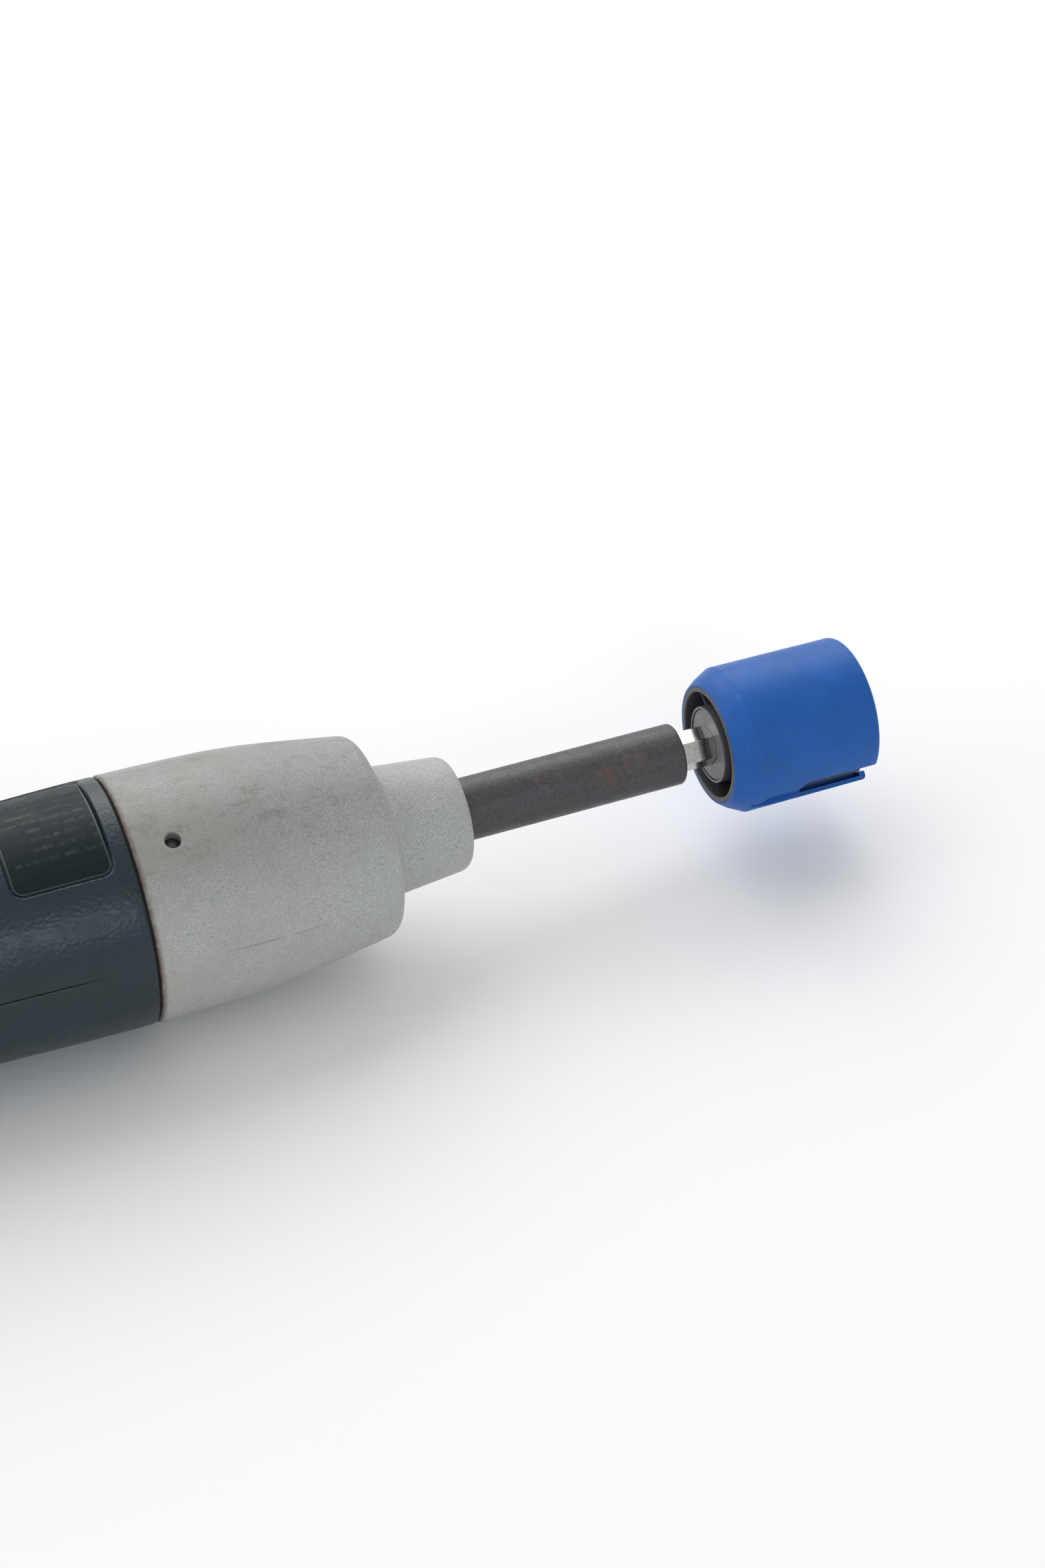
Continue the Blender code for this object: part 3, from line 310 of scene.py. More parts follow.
class Finish:
    """A Principled material with short calls for its procedural nodes."""

    def __init__(self, name, color, roughness, metallic=0.0, **sockets):
        self.material = bpy.data.materials.new(name)
        self.material.use_nodes = True
        self.tree = self.material.node_tree
        self.shader = self.tree.nodes["Principled BSDF"]
        self.color = color
        self.shader.inputs["Base Color"].default_value = (*color, 1)
        self.shader.inputs["Roughness"].default_value = roughness
        self.shader.inputs["Metallic"].default_value = metallic
        for socket, value in sockets.items():
            self.shader.inputs[socket.replace("_", " ")].default_value = value
        self.place = self.add("ShaderNodeTexCoord").outputs["Object"]

    def add(self, kind, settings=(), **inputs):
        """A node, with its inputs given by name, or as i and their number."""
        node = self.tree.nodes.new(kind)
        for key, value in settings:
            setattr(node, key, value)
        for key, value in inputs.items():
            numbered = key[0] == "i" and key[1:].isdigit()
            socket = node.inputs[int(key[1:]) if numbered else key]
            if isinstance(value, bpy.types.NodeSocket):
                self.tree.links.new(value, socket)
            else:
                socket.default_value = value
        return node

    def stretched(self, x, y, z):
        """The object's coordinates, scaled along each axis."""
        return self.add("ShaderNodeMapping", Vector=self.place, Scale=(x, y, z)).outputs["Vector"]

    def noise(self, size, detail=3.0, rough=0.5, place=None, offset=0.0):
        """Noise whose lumps are about size mm across, from 0 to 1."""
        settings = (("noise_dimensions", "4D"),)
        inputs = {"W": offset, "Scale": 1 / (size * MM), "Detail": detail, "Roughness": rough}
        inputs["Vector"] = place or self.place
        return self.add("ShaderNodeTexNoise", settings, **inputs).outputs["Fac"]

    def cells(self, size):
        """Soft-edged cells about size mm across."""
        settings = (("feature", "SMOOTH_F1"),)
        scale = 1 / (size * MM)
        node = self.add("ShaderNodeTexVoronoi", settings, Vector=self.place, Scale=scale)
        return node.outputs["Distance"]

    def ramp(self, value, low, high, to_low=0.0, to_high=1.0):
        """A smooth step from to_low to to_high, as the value goes from low to high."""
        settings = (("interpolation_type", "SMOOTHSTEP"),)
        inputs = {"i0": value, "i1": low, "i2": high, "i3": to_low, "i4": to_high}
        return self.add("ShaderNodeMapRange", settings, **inputs).outputs[0]

    def math(self, operation, a, b=0):
        return self.add("ShaderNodeMath", (("operation", operation),), i0=a, i1=b).outputs[0]

    def times(self, a, b):
        return self.math("MULTIPLY", a, b)

    def mix(self, share, a, b, blend="MIX"):
        """Colours a and b, each a tuple or a socket, mixed by share."""
        settings = (("data_type", "RGBA"), ("blend_type", blend))
        a, b = [(*color, 1) if isinstance(color, tuple) else color for color in (a, b)]
        return self.add("ShaderNodeMix", settings, i0=share, i6=a, i7=b).outputs[2]

    def varied(self, value, darker, lighter):
        """The material's own colour, from darker to lighter as the value rises."""
        share = self.ramp(value, 0.3, 0.7)
        return self.mix(share, shade(self.color, darker), shade(self.color, lighter))

    def paint(self, color):
        self.tree.links.new(color, self.shader.inputs["Base Color"])

    def gloss(self, value):
        self.tree.links.new(value, self.shader.inputs["Roughness"])

    def bump(self, height, depth, before=None):
        """Bump of depth mm; before is an earlier bump to add it to."""
        inputs = {"Height": height, "Distance": depth * MM, "Strength": 1.0}
        if before:
            inputs["Normal"] = before
        normal = self.add("ShaderNodeBump", **inputs).outputs["Normal"]
        self.tree.links.new(normal, self.shader.inputs["Normal"])
        return normal

    def coordinate(self, axis):
        """The place along an axis, in metres."""
        return self.add("ShaderNodeSeparateXYZ", Vector=self.place).outputs[axis]

    def station(self):
        """The station x, in mm."""
        return self.times(self.coordinate("X"), 1 / MM)

    def spot(self, centre, size):
        """1 within size mm of a point, falling to 0 a little further out."""
        settings = (("operation", "DISTANCE"),)
        away = self.add("ShaderNodeVectorMath", settings, i0=self.place, i1=centre).outputs["Value"]
        return self.ramp(away, size * 0.35 * MM, size * MM, 1.0, 0.0)


def shade(color, factor):
    return tuple(c * factor for c in color)


def blue_plastic():
    f = Finish("blue_soft_touch", (0.0072, 0.094, 0.37), 0.46, Specular_IOR_Level=0.3)
    cloud = f.noise(9, 2, 0.6)
    color = f.varied(cloud, 0.93, 1.07)
    dust = f.ramp(f.noise(0.42, 1, 0.4, offset=3), 0.73, 0.80)
    scuffs = f.times(f.ramp(f.noise(1.6, 4, 0.7, offset=8), 0.56, 0.74), 0.28)
    from_edge = f.math("ABSOLUTE", f.math("SUBTRACT", f.station(), HEAD_REAR + BEVEL))
    bevel_top = f.ramp(from_edge, 0.2, 1.8, 1, 0)
    worn = f.times(scuffs, bevel_top)
    color = f.mix(f.times(dust, 0.22), color, (0.25, 0.35, 0.52))
    color = f.mix(worn, color, (0.16, 0.29, 0.52))
    f.paint(color)
    f.gloss(f.ramp(f.noise(2.2, 3, 0.6, offset=5), 0.3, 0.7, 0.42, 0.52))
    fine = f.bump(f.noise(0.16, 2, 0.6), 0.006)
    f.bump(cloud, 0.05, fine)
    return f.material


def black_gloss():
    f = Finish("black_gloss_plastic", (0.075, 0.076, 0.088), 0.22)
    smear = f.noise(3, 3, 0.6)
    f.gloss(f.ramp(smear, 0.3, 0.7, 0.16, 0.3))
    dust = f.ramp(f.noise(0.3, 1, 0.5, offset=2), 0.74, 0.8)
    f.paint(f.mix(f.times(dust, 0.3), f.color, (0.16, 0.16, 0.15)))
    f.bump(smear, 0.01)
    return f.material


def satin_plastic(name, color, roughness, grain=0.25, depth=0.012):
    f = Finish(name, color, roughness)
    cloud = f.noise(6, 2, 0.5)
    f.paint(f.varied(cloud, 0.88, 1.12))
    sheen = f.noise(grain * 4, 2, 0.5, offset=1)
    f.gloss(f.ramp(sheen, 0.3, 0.7, roughness - 0.05, roughness + 0.06))
    f.bump(f.noise(grain, 2, 0.6), depth)
    return f.material


def nickel():
    f = Finish("nickel_plate", (0.60, 0.575, 0.535), 0.12, 1.0)
    stain = f.noise(0.45, 4, 0.7)
    color = f.mix(f.ramp(stain, 0.46, 0.72), f.color, (0.36, 0.35, 0.33))
    f.paint(color)
    f.gloss(f.ramp(stain, 0.35, 0.7, 0.1, 0.2))
    return f.material


RUST = (
    (22.2, 36, 2.9), (21.0, 42, 1.9), (17.0, 50, 1.9), (14.9, 49, 1.6),
    (19.2, 40, 1.1), (21.2, 18, 1.5), (10.6, 10, 1.1), (17.6, 2, 1.0),
    (29.5, 54, 1.0), (33.8, 58, 0.9), (41.0, 38, 0.9), (45.6, 55, 1.0),
    (46.2, 36, 1.2), (30.0, 200, 3.0), (18.0, 265, 2.4), (38.0, 140, 2.2),
)


def black_oxide():
    """Worn black steel. RUST gives its spots: distance from the head's rear, elevation, size."""
    f = Finish("black_oxide_steel", (0.087, 0.086, 0.092), 0.42, 0.45)
    along = f.noise(1.4, 4, 0.6, f.stretched(0.12, 1.0, 1.0))
    blotch = f.noise(3.0, 4, 0.65)
    color = f.mix(f.ramp(along, 0.25, 0.75), shade(f.color, 0.86), shade(f.color, 1.14))
    color = f.mix(f.ramp(blotch, 0.45, 0.75), color, (0.088, 0.078, 0.073))
    color = f.mix(f.ramp(f.noise(0.28, 2, 0.6, offset=15), 0.3, 0.7), shade(f.color, 0.6), color)
    spots = 0.0
    for back, elevation, size in RUST:
        centre = point(HEAD_REAR - back, HOLDER_RADIUS, elevation)
        spots = f.math("MAXIMUM", f.spot(centre, size), spots)
    ragged = f.ramp(f.noise(1.3, 6, 0.75, offset=4), 0.40, 0.58)
    rust = f.times(spots, ragged)
    freckles = f.ramp(f.noise(0.8, 3, 0.6, offset=9), 0.66, 0.74)
    rust = f.math("MAXIMUM", rust, f.times(freckles, 0.5))
    color = f.mix(f.times(rust, 0.62), color, (0.118, 0.064, 0.048))
    bare = f.ramp(f.noise(0.45, 2, 0.5, offset=12), 0.765, 0.80)
    color = f.mix(f.times(bare, 0.6), color, (0.42, 0.40, 0.37))
    f.paint(color)
    dull = f.times(rust, 0.3)
    f.gloss(f.math("ADD", f.ramp(blotch, 0.3, 0.7, 0.40, 0.52), dull))
    f.tree.links.new(f.ramp(rust, 0.1, 0.6, 0.45, 0.1), f.shader.inputs["Metallic"])
    pits = f.bump(f.noise(0.35, 4, 0.65), 0.014)
    f.bump(rust, 0.03, pits)
    return f.material


def cast_grey():
    """Paint with a fine metallic speckle over a die casting, with handling marks."""
    f = Finish("speckled_grey_case", (0.388, 0.391, 0.388), 0.5)
    speckle = f.noise(0.3, 3, 0.75)
    color = f.varied(speckle, 0.70, 1.30)
    patchy = f.noise(2.4, 4, 0.7, offset=14)
    color = f.mix(f.ramp(patchy, 0.35, 0.65, 0.0, 0.4), color, shade(f.color, 0.88))
    cloud = f.noise(11, 3, 0.6)
    warm = f.ramp(f.station(), 46, 8, 0.0, 0.55)
    color = f.mix(f.times(warm, f.ramp(cloud, 0.3, 0.6)), color, (0.36, 0.345, 0.30))
    smudge = f.ramp(f.noise(3.5, 6, 0.75, f.stretched(0.5, 1, 1), offset=6), 0.48, 0.70, 0, 0.5)
    height = f.coordinate("Z")
    upper = f.ramp(height, (AXIS_HEIGHT + 7) * MM, (AXIS_HEIGHT + 19) * MM, 0.12, 1.0)
    color = f.mix(f.times(smudge, upper), color, (0.15, 0.15, 0.125))
    # Painted shade: the colour is multiplied darker towards the top of the case, standing in for the
    # top catching less light.
    painted_top_shade = f.ramp(height, (AXIS_HEIGHT + 7) * MM, (AXIS_HEIGHT + 20) * MM, 0.0, 1.0)
    color = f.mix(painted_top_shade, color, (0.68, 0.68, 0.67), "MULTIPLY")
    nicks = f.ramp(f.noise(0.8, 2, 0.5, offset=11), 0.68, 0.74, 0, 0.6)
    color = f.mix(nicks, color, (0.13, 0.13, 0.125))
    joint = f.ramp(f.station(), HOUSING_FRONT + 0.2, HOUSING_FRONT + 1.5, 1.0, 0.0)
    grime = f.times(joint, f.ramp(f.noise(1.2, 4, 0.6, offset=7), 0.25, 0.6, 0.55, 1.0))
    color = f.mix(grime, color, (0.085, 0.055, 0.035))
    f.paint(color)
    f.gloss(f.ramp(cloud, 0.3, 0.7, 0.44, 0.56))
    fine = f.bump(speckle, 0.02)
    f.bump(f.noise(1.6, 3, 0.6), 0.03, fine)
    return f.material


def leather_grained_green():
    f = Finish("dark_green_housing", (0.0051, 0.0177, 0.0250), 0.36, Specular_IOR_Level=0.45)
    cloud = f.noise(14, 3, 0.6)
    color = f.varied(cloud, 0.85, 1.18)
    dust = f.ramp(f.noise(0.5, 3, 0.7, offset=3), 0.64, 0.80, 0, 0.18)
    color = f.mix(dust, color, (0.09, 0.11, 0.12))
    f.paint(color)
    f.gloss(f.ramp(f.noise(2.6, 4, 0.7, offset=5), 0.3, 0.7, 0.30, 0.42))
    grain = f.cells(0.62)
    wrinkle = f.noise(1.1, 4, 0.65, f.stretched(0.6, 1, 1))
    first = f.bump(grain, 0.06)
    f.bump(wrinkle, 0.08, first)
    return f.material


def label_film():
    """A dark film with faint worn rows of print, none of it legible."""
    f = Finish("label_film", (0.0075, 0.0145, 0.0165), 0.4, Specular_IOR_Level=0.12)
    across = f.times(f.coordinate("Y"), 1 / MM)
    rows = f.math("FRACT", f.math("DIVIDE", across, 2.1))
    line = f.ramp(f.math("ABSOLUTE", f.math("SUBTRACT", rows, 0.5)), 0.10, 0.22, 1, 0)
    dashes = f.ramp(f.noise(1.1, 2, 0.5, f.stretched(1.0, 0.25, 0.0)), 0.42, 0.56)
    worn = f.ramp(f.noise(4.5, 3, 0.6, offset=2), 0.36, 0.62)
    middle = f.ramp(f.math("ABSOLUTE", across), 7.0, 10.0, 1, 0)
    marks = f.times(f.times(line, dashes), f.times(worn, middle))
    color = f.mix(f.times(marks, 0.16), f.color, (0.20, 0.23, 0.22))
    f.paint(color)
    scuff = f.noise(1.2, 4, 0.7, f.stretched(0.3, 1, 1), offset=4)
    f.gloss(f.ramp(scuff, 0.35, 0.7, 0.34, 0.5))
    f.bump(f.noise(3.0, 2, 0.5), 0.012)
    return f.material


def rubber():
    f = Finish("black_rubber", (0.014, 0.014, 0.014), 0.75)
    f.paint(f.mix(f.ramp(f.noise(4, 3, 0.6), 0.4, 0.7), f.color, (0.035, 0.034, 0.032)))
    f.bump(f.noise(0.3, 3, 0.7), 0.02)
    return f.material


def turned_metal(name, color, roughness, grain=0.35):
    """Machined metal with fine rings round the axis and a little tarnish."""
    f = Finish(name, color, roughness, 1.0)
    rings = f.noise(grain, 2, 0.5, f.stretched(1.0, 0.05, 0.05))
    f.paint(f.mix(f.ramp(f.noise(5, 4, 0.6), 0.45, 0.75), color, shade(color, 0.62)))
    f.gloss(f.ramp(rings, 0.3, 0.7, roughness - 0.08, roughness + 0.1))
    f.bump(rings, 0.008)
    return f.material


def wound_copper():
    f = Finish("copper_winding", (0.42, 0.16, 0.06), 0.35, 0.9)
    settings = (("wave_type", "BANDS"),)
    wave = f.add("ShaderNodeTexWave", settings, Vector=f.place, Scale=900.0, Distortion=1.5)
    strands = wave.outputs["Fac"]
    f.paint(f.mix(strands, shade(f.color, 0.5), f.color))
    f.bump(strands, 0.12)
    return f.material


def printed_wrap():
    f = Finish("cell_wrap", (0.36, 0.25, 0.03), 0.38)
    f.paint(f.mix(f.ramp(f.noise(8, 2, 0.5), 0.4, 0.7), f.color, (0.42, 0.31, 0.06)))
    f.bump(f.noise(6, 2, 0.5, f.stretched(1, 0.3, 0.3)), 0.06)
    return f.material


BLUE = blue_plastic()
GLOSS_BLACK = black_gloss()
RING_GREY = satin_plastic("matte_ring", (0.098, 0.093, 0.088), 0.58)
DISC_GREY = satin_plastic("satin_disc", (0.115, 0.117, 0.12), 0.34, 0.8, 0.001)
CAP_BLACK = satin_plastic("grained_black", (0.020, 0.022, 0.024), 0.48, 0.55, 0.035)
BORDER = satin_plastic("label_border", (0.015, 0.026, 0.031), 0.45)
NICKEL = nickel()
OXIDE = black_oxide()
GREY = cast_grey()
GREEN = leather_grained_green()
FILM = label_film()
RUBBER = rubber()
STEEL = turned_metal("machined_steel", (0.46, 0.46, 0.45), 0.32)
DARK_STEEL = turned_metal("dark_steel", (0.10, 0.10, 0.11), 0.38)
ZINC = turned_metal("zinc_plate", (0.58, 0.57, 0.52), 0.34)
BRASS = turned_metal("brass", (0.62, 0.43, 0.16), 0.3)
BRONZE = turned_metal("sintered_bronze", (0.40, 0.25, 0.12), 0.5, 0.2)
MAGNET = satin_plastic("ferrite", (0.05, 0.05, 0.055), 0.5, 0.3, 0.02)
NYLON = satin_plastic("natural_nylon", (0.62, 0.60, 0.53), 0.45)
COPPER = wound_copper()
WRAP = printed_wrap()
RED = satin_plastic("red_insulation", (0.40, 0.02, 0.015), 0.42)
BLACK_WIRE = satin_plastic("black_insulation", (0.015, 0.015, 0.016), 0.42)


def piece(obj, material, body, slot, *nodes, sharp=32.0):
    """Gives a finished mesh its material, its body and the CAD nodes that it stands for."""
    obj.data.materials.clear()
    obj.data.materials.append(material)
    obj.data.shade_smooth()
    obj.data.set_sharp_from_angle(angle=radians(sharp))
    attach(obj, body)
    if nodes:
        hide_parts(*nodes)
    return obj


# ---- winder head


def slot_cutter(side, levels):
    """A cutter at the side slot's elevation, from one side of its outline."""
    return pocket(mirrored(side), lambda _: HEAD_RADIUS, SLOT_ELEVATION, HEAD_RADIUS, levels)


def head_sleeve():
    """The sleeve, with its slot, the slot's narrow neck and the fading taper behind that."""
    bore = HEAD_RADIUS - SLEEVE_WALL
    rear, edge, out = HEAD_REAR, HEAD_REAR + BEVEL, HEAD_RADIUS
    corners = [
        (MOUTH, bore, 0.3), (MOUTH, out - 0.08, 1.1), (edge + 0.3, out, 0.12), (edge + 0.1, out, 0.1),
        (edge, out - 0.07, 0.05), (rear + 1.4, out - 1.25, 3.0), (rear, out - 2.28, 0.25),
        (rear + 0.05, out - 2.75, 0.05), (rear + 3.0, bore, 0.2),
    ]
    sleeve = ring("head_sleeve", corners, 0.8)

    wide, narrow, end = SLOT_HALF, NECK_HALF, MOUTH + 3
    through_side = [(end, wide), (SLOT_START + 0.5, wide), (SLOT_START + 0.1, wide - 0.12)]
    through_side.append((SLOT_START, wide - 0.5))
    start, funnel = rear + 5.6, rear + 12.2
    neck_side = [
        (end, wide), (funnel + 1.75, wide), (funnel + 1.45, wide - 0.07), (funnel + 1.15, wide - 0.3),
        (funnel + 0.55, narrow + 0.35), (funnel + 0.2, narrow + 0.08), (funnel - 0.3, narrow),
        (start + 1.7, narrow), (start + 1.0, narrow - 0.12), (start + 0.45, narrow - 0.5),
        (start + 0.12, narrow - 1.0), (start, narrow - 1.6),
    ]
    taper_side = [(start + 1, 1.15), (start - 0.2, 0.9), (rear + 2.6, 0.1)]
    cuts = []
    sides = ((taper_side, 0.32, 0.1), (neck_side, 0.95, 0.24), (through_side, 5.5, 0.2))
    for side, depth, edge in sides:
        cuts.append(slot_cutter(side, fillet_levels(depth, edge)))
    # The wall is thinner beside the slot, except at the mouth.
    rear, front, inner, outer = SLOT_START + 0.6, MOUTH - 1.1, 8.0, HEAD_RADIUS - 0.85
    undercut = [(rear, inner), (front, inner), (front, outer), (rear, outer)]
    angles = [SLOT_ELEVATION + 2 * k for k in range(-13, 14)]
    rows = [[point(x, r, e) for x, r in undercut] for e in angles]
    cuts.append(surface("cutter", rows, caps=True))
    cut(sleeve, *cuts)
    piece(sleeve, BLUE, "winder_head", "blue_sleeve", "winder_sleeve")


def slotted(obj, inner):
    """Opens the side of a piece inside the sleeve, where the sleeve is open."""
    side = [(MOUTH + 2, SLOT_HALF), (SLOT_START, SLOT_HALF)]
    cut(obj, slot_cutter(side, [(-(HEAD_RADIUS - inner), 0), (1, 0)]))


def obround_row(x, half_length, half_width, steps=14):
    """Points of the mouth's outline at a station, its length along the side slot."""
    reach = half_length - half_width
    arc = [pi * (k / steps - 0.5) for k in range(steps + 1)]
    right = [(reach + half_width * cos(a), half_width * sin(a)) for a in arc]
    row = []
    for u, v in right + [(-u, -v) for u, v in right]:
        row.append(point(x, hypot(u, v), SLOT_ELEVATION + degrees(atan2(v, u))))
    return row


def obround_solid(name, size, levels):
    """A solid of a half length and a half width; levels are (x, widening)."""
    rows = [obround_row(x, size[0] + widening, size[1] + widening) for x, widening in levels]
    return surface(name, rows, caps=True)


LINER_SEAT = 10.6, 6.0  # half length and half width of the space in the core
LINER_SIZE = 10.5, 5.9  # of the rubber lining in it
CAVITY_SIZE = 9.6, 5.0  # and of the clear space in the lining


def head_core():
    """The black core, its boss held by six ribs, and the grey ring on its rear rim."""
    radius = (CORE_HIGH.z - CORE_LOW.z) / 2
    ring_outer, recess, boss = HEAD_RADIUS - 2.85, 9.65, 6.95
    rear, front = HEAD_REAR, CORE_HIGH.x
    corners = [
        (front, 0.0), (front, radius, 0.35), (rear + 3.0, radius, 0.1), (rear + 0.1, ring_outer, 0.1),
        (rear + 0.1, recess, 0.12), (rear + 5.5, recess - 0.25, 0.5), (rear + 5.5, boss + 0.2, 0.5),
        (rear - 0.05, boss, 0.16), (rear - 0.05, boss - 0.42, 0.1), (rear + 1.3, boss - 0.44, 0.1),
        (rear + 1.3, 0.0),
    ]
    core = lathe("head_core", dense(rounded(corners), 1.2), closed=False)
    floor = LINER_LOW.x - 0.1
    levels = [(floor, 0), (front - 0.5, 0), (front, 0.5), (front + 2, 2.5)]
    cut(core, obround_solid("cutter", LINER_SEAT, levels))
    slotted(core, CAVITY_SIZE[1])
    end = floor - 0.6
    hub_hole = [(rear, 0), (rear, SOCKET_RADIUS), (end, SOCKET_RADIUS), (end, 0)]
    cut(core, lathe("cutter", hub_hole, False, 48))
    spread = degrees(0.4 / 8.3)
    section = [(boss - 0.2, -1.2), (recess + 0.2, -0.85), (recess + 0.2, 0.85), (boss - 0.2, 1.2)]
    ribs = []
    for middle in range(28, 388, 60):
        rows = []
        for x in (rear + 2.3, rear + 5.8):
            rows.append([point(x, r, middle + spread * share) for r, share in section])
        ribs.append(surface("rib", rows, caps=True))
    cut(core, *ribs, operation="UNION")
    piece(core, GLOSS_BLACK, "winder_head", "black_plastic", "winder_core")

    inside, outside = recess + 0.06, ring_outer + 0.08
    corners = [(rear, inside, 0.12), (rear, outside, 0.12)]
    corners += [(rear + 0.09, outside), (rear + 0.09, inside)]
    rim = ring("core_rear_ring", corners)
    piece(rim, RING_GREY, "winder_head", "black_plastic")


def head_liner():
    front, floor = LINER_HIGH.x, LINER_LOW.x
    outer = [(floor, -0.2), (floor + 0.3, 0), (front - 0.35, 0), (front, -0.35)]
    liner = obround_solid("head_liner", LINER_SIZE, outer)
    deep = floor + 1.2
    inner = [(deep, -0.5), (deep + 0.5, -0.1), (front - 1.2, 0), (front - 0.2, 0.25), (front + 1, 0.8)]
    cut(liner, obround_solid("cutter", CAVITY_SIZE, inner))
    slotted(liner, CAVITY_SIZE[1] - 1)
    piece(liner, RUBBER, "winder_head", "rubber_lining", "winder_liner")


def hub():
    """The grey disc on the boss, with a hexagonal hole for the shank."""
    face, back, radius = DISC_FACE, DISC_FACE + 0.9, 6.46
    corners = [(back, 0.0), (back, radius), (face, radius, 0.15), (face, 0.0)]
    disc = lathe("hub_face", dense(rounded(corners), 0.7), closed=False)
    corner = SOCKET_RADIUS - 0.01
    socket = [[point(x, corner, 60 * side) for side in range(6)] for x in (face - 1, face + 2)]
    cut(disc, surface("cutter", socket, caps=True))
    piece(disc, DISC_GREY, "winder_head", "grey_disc", "hub_disc")


def hex_shank(name, groove, body, node):
    """A hex drive with bevelled ends and a turned groove, given as (station, width, depth)."""
    low, high = [corner.x for corner in box_mm(node)]
    flat = HEX_FLATS / 2
    corner = flat / cos(radians(30))
    elevations = [60 * side + t for side in range(6) for t in (-1.6, 0.0, 1.6)]
    rows = []
    for x in (low, high):
        row = []
        for e in elevations:
            across = radians(30 - abs((e + 30) % 60 - 30))
            row.append(point(x, min(flat / cos(across), corner - 0.06), e))
        rows.append(row)
    rows = [[point(low, 0, 0)] * len(elevations), *rows, [point(high, 0, 0)] * len(elevations)]
    shank = surface(name, rows)
    out = corner + 1
    ends = [
        [(low - 1, out), (low - 1, 1.2), (low, 2.2), (low + 1.9, out)],
        [(high + 1, out), (high + 1, 2.4), (high, 3.0), (high - 0.8, out)],
    ]
    cutters = [lathe("cutter", profile, sides=96) for profile in ends]
    station, width, depth = groove
    half, bottom = width / 2, corner - depth
    slope = (out - bottom) * 0.55
    profile = [(station + half, bottom, 0.2), (station - half, bottom, 0.2)]
    profile += [(station - half - slope, out), (station + half + slope, out)]
    cutters.append(ring("cutter", profile, sides=96))
    cut(shank, *cutters)
    piece(shank, NICKEL, body, "nickel_plate", node, sharp=20)


# ---- bit holder


def bit_holder():
    """A plain tube, and a lining that makes its front socket a hexagon."""
    front, rear, radius = HOLDER_FRONT, HOLDER_REAR, HOLDER_RADIUS
    corners = [
        (front - 1.0, 3.72), (front - 0.45, 4.15, 0.2), (front, 4.5, 0.12),
        (front, radius, 0.75), (rear, radius, 0.6), (rear, 3.72, 0.2),
    ]
    tube = ring("holder_tube", corners, 1.0, 96)
    piece(tube, OXIDE, "bit_holder", "black_oxide", "holder_sleeve")
    flat_radius = HEX_FLATS / 2 + 0.08
    deep, lip = front - 13, front - 0.9
    rows = []
    for x, out in ((deep, False), (lip, False), (lip, True), (deep, True)):
        row = []
        for middle in range(30, 390, 60):
            for t in range(-30, 30, 10):
                r = 3.7 if out else flat_radius / cos(radians(t))
                row.append(point(x, r, middle + t))
        rows.append(row)
    piece(surface("holder_hex_bore", rows, along=True), OXIDE, "bit_holder", "black_oxide")


# ---- gear case

CASE_BARREL = [
    (46.0, 17.95), (41.5, 18.65), (36.0, 19.5), (31.0, 20.2),
    (25.0, 20.72), (19.0, 20.95), (13.0, 21.08),
]
CASE_FRONT = SNOUT_FRONT - 14.6  # of the barrel
SPIGOT_RADIUS, SPIGOT_BORE = 18.4, 17.2
SNOUT_BORE, BUSHING_SEAT = 6.1, 8.5
PIN_NODES = numbered("case_pin", 2)


def gear_case():
    front, rear = SNOUT_FRONT, HOUSING_FRONT + 0.3
    outside = [
        (front, SNOUT_BORE, 0.3), (front, 9.95, 2.3), (CASE_FRONT + 0.8, 11.3, 0.7),
        (CASE_FRONT - 0.4, 14.6), (CASE_FRONT - 1.3, 17.4, 3.6), *CASE_BARREL,
        (rear, CASE_RADIUS, 0.5), (rear, 18.6, 0.2), (rear - 2, SPIGOT_RADIUS),
        (SPIGOT_REAR, SPIGOT_RADIUS, 0.3), (SPIGOT_REAR, SPIGOT_BORE, 0.3), (31.0, SPIGOT_BORE, 0.5),
        (34.5, 13.5, 0.5), (36.5, 13.5, 0.5), (36.5, BUSHING_SEAT, 0.3),
        (57.4, BUSHING_SEAT, 0.3), (57.4, SNOUT_BORE, 0.3),
    ]
    case = ring("case_shell", outside, 1.2)

    def skin(x):
        return through(CASE_BARREL + [(0, 21.15)], x)

    holes = []
    for node in PIN_NODES:
        x, elevation = pin_place(node)
        round_hole, levels = ring_outline(1.38, x), fillet_levels(3.0, 0.16)
        holes.append(pocket(round_hole, skin, elevation, CASE_RADIUS, levels))
    # The casting's parting line is a shallow scratch, at a slight angle and thin at its ends.
    seam = [(11.0, 0.77, 0.01), (17.0, 0.33, 0.05), (28.0, -0.33, 0.05), (36.0, -0.77, 0.01)]
    outline = [(x, w + half) for x, w, half in seam]
    outline += [(x, w - half) for x, w, half in reversed(seam)]
    parting = pocket(outline, skin, 5, CASE_RADIUS, [(-0.03, 0), (0.3, 0.03)])
    cut(case, parting, *holes)
    piece(case, GREY, "root", "grey_case", "gear_case")


def pin_place(node):
    """A cross pin's station and elevation."""
    middle = middle_of(node)
    return middle.x, degrees(atan2(middle.z - AXIS_HEIGHT, -middle.y))


def case_pins():
    """Cross pins with domed ends, at the bottom of the case's two holes."""
    shape = [(16.2, 0.0), (16.2, 1.0), (16.4, 1.22), (18.9, 1.22)]
    shape += [(19.15, 1.1), (19.3, 0.7), (19.35, 0.0)]
    turns = [2 * pi * j / 24 for j in range(24)]
    for node in PIN_NODES:
        x, elevation = pin_place(node)
        rows = []
        for r, across in shape:
            row = []
            for a in turns:
                w = across * sin(a)
                e = elevation + degrees(w / r)
                row.append(point(x + across * cos(a), hypot(r, w), e))
            rows.append(row)
        name = "cross_pin_" + node[-1]
        piece(surface(name, rows), DARK_STEEL, "root", "steel", node)


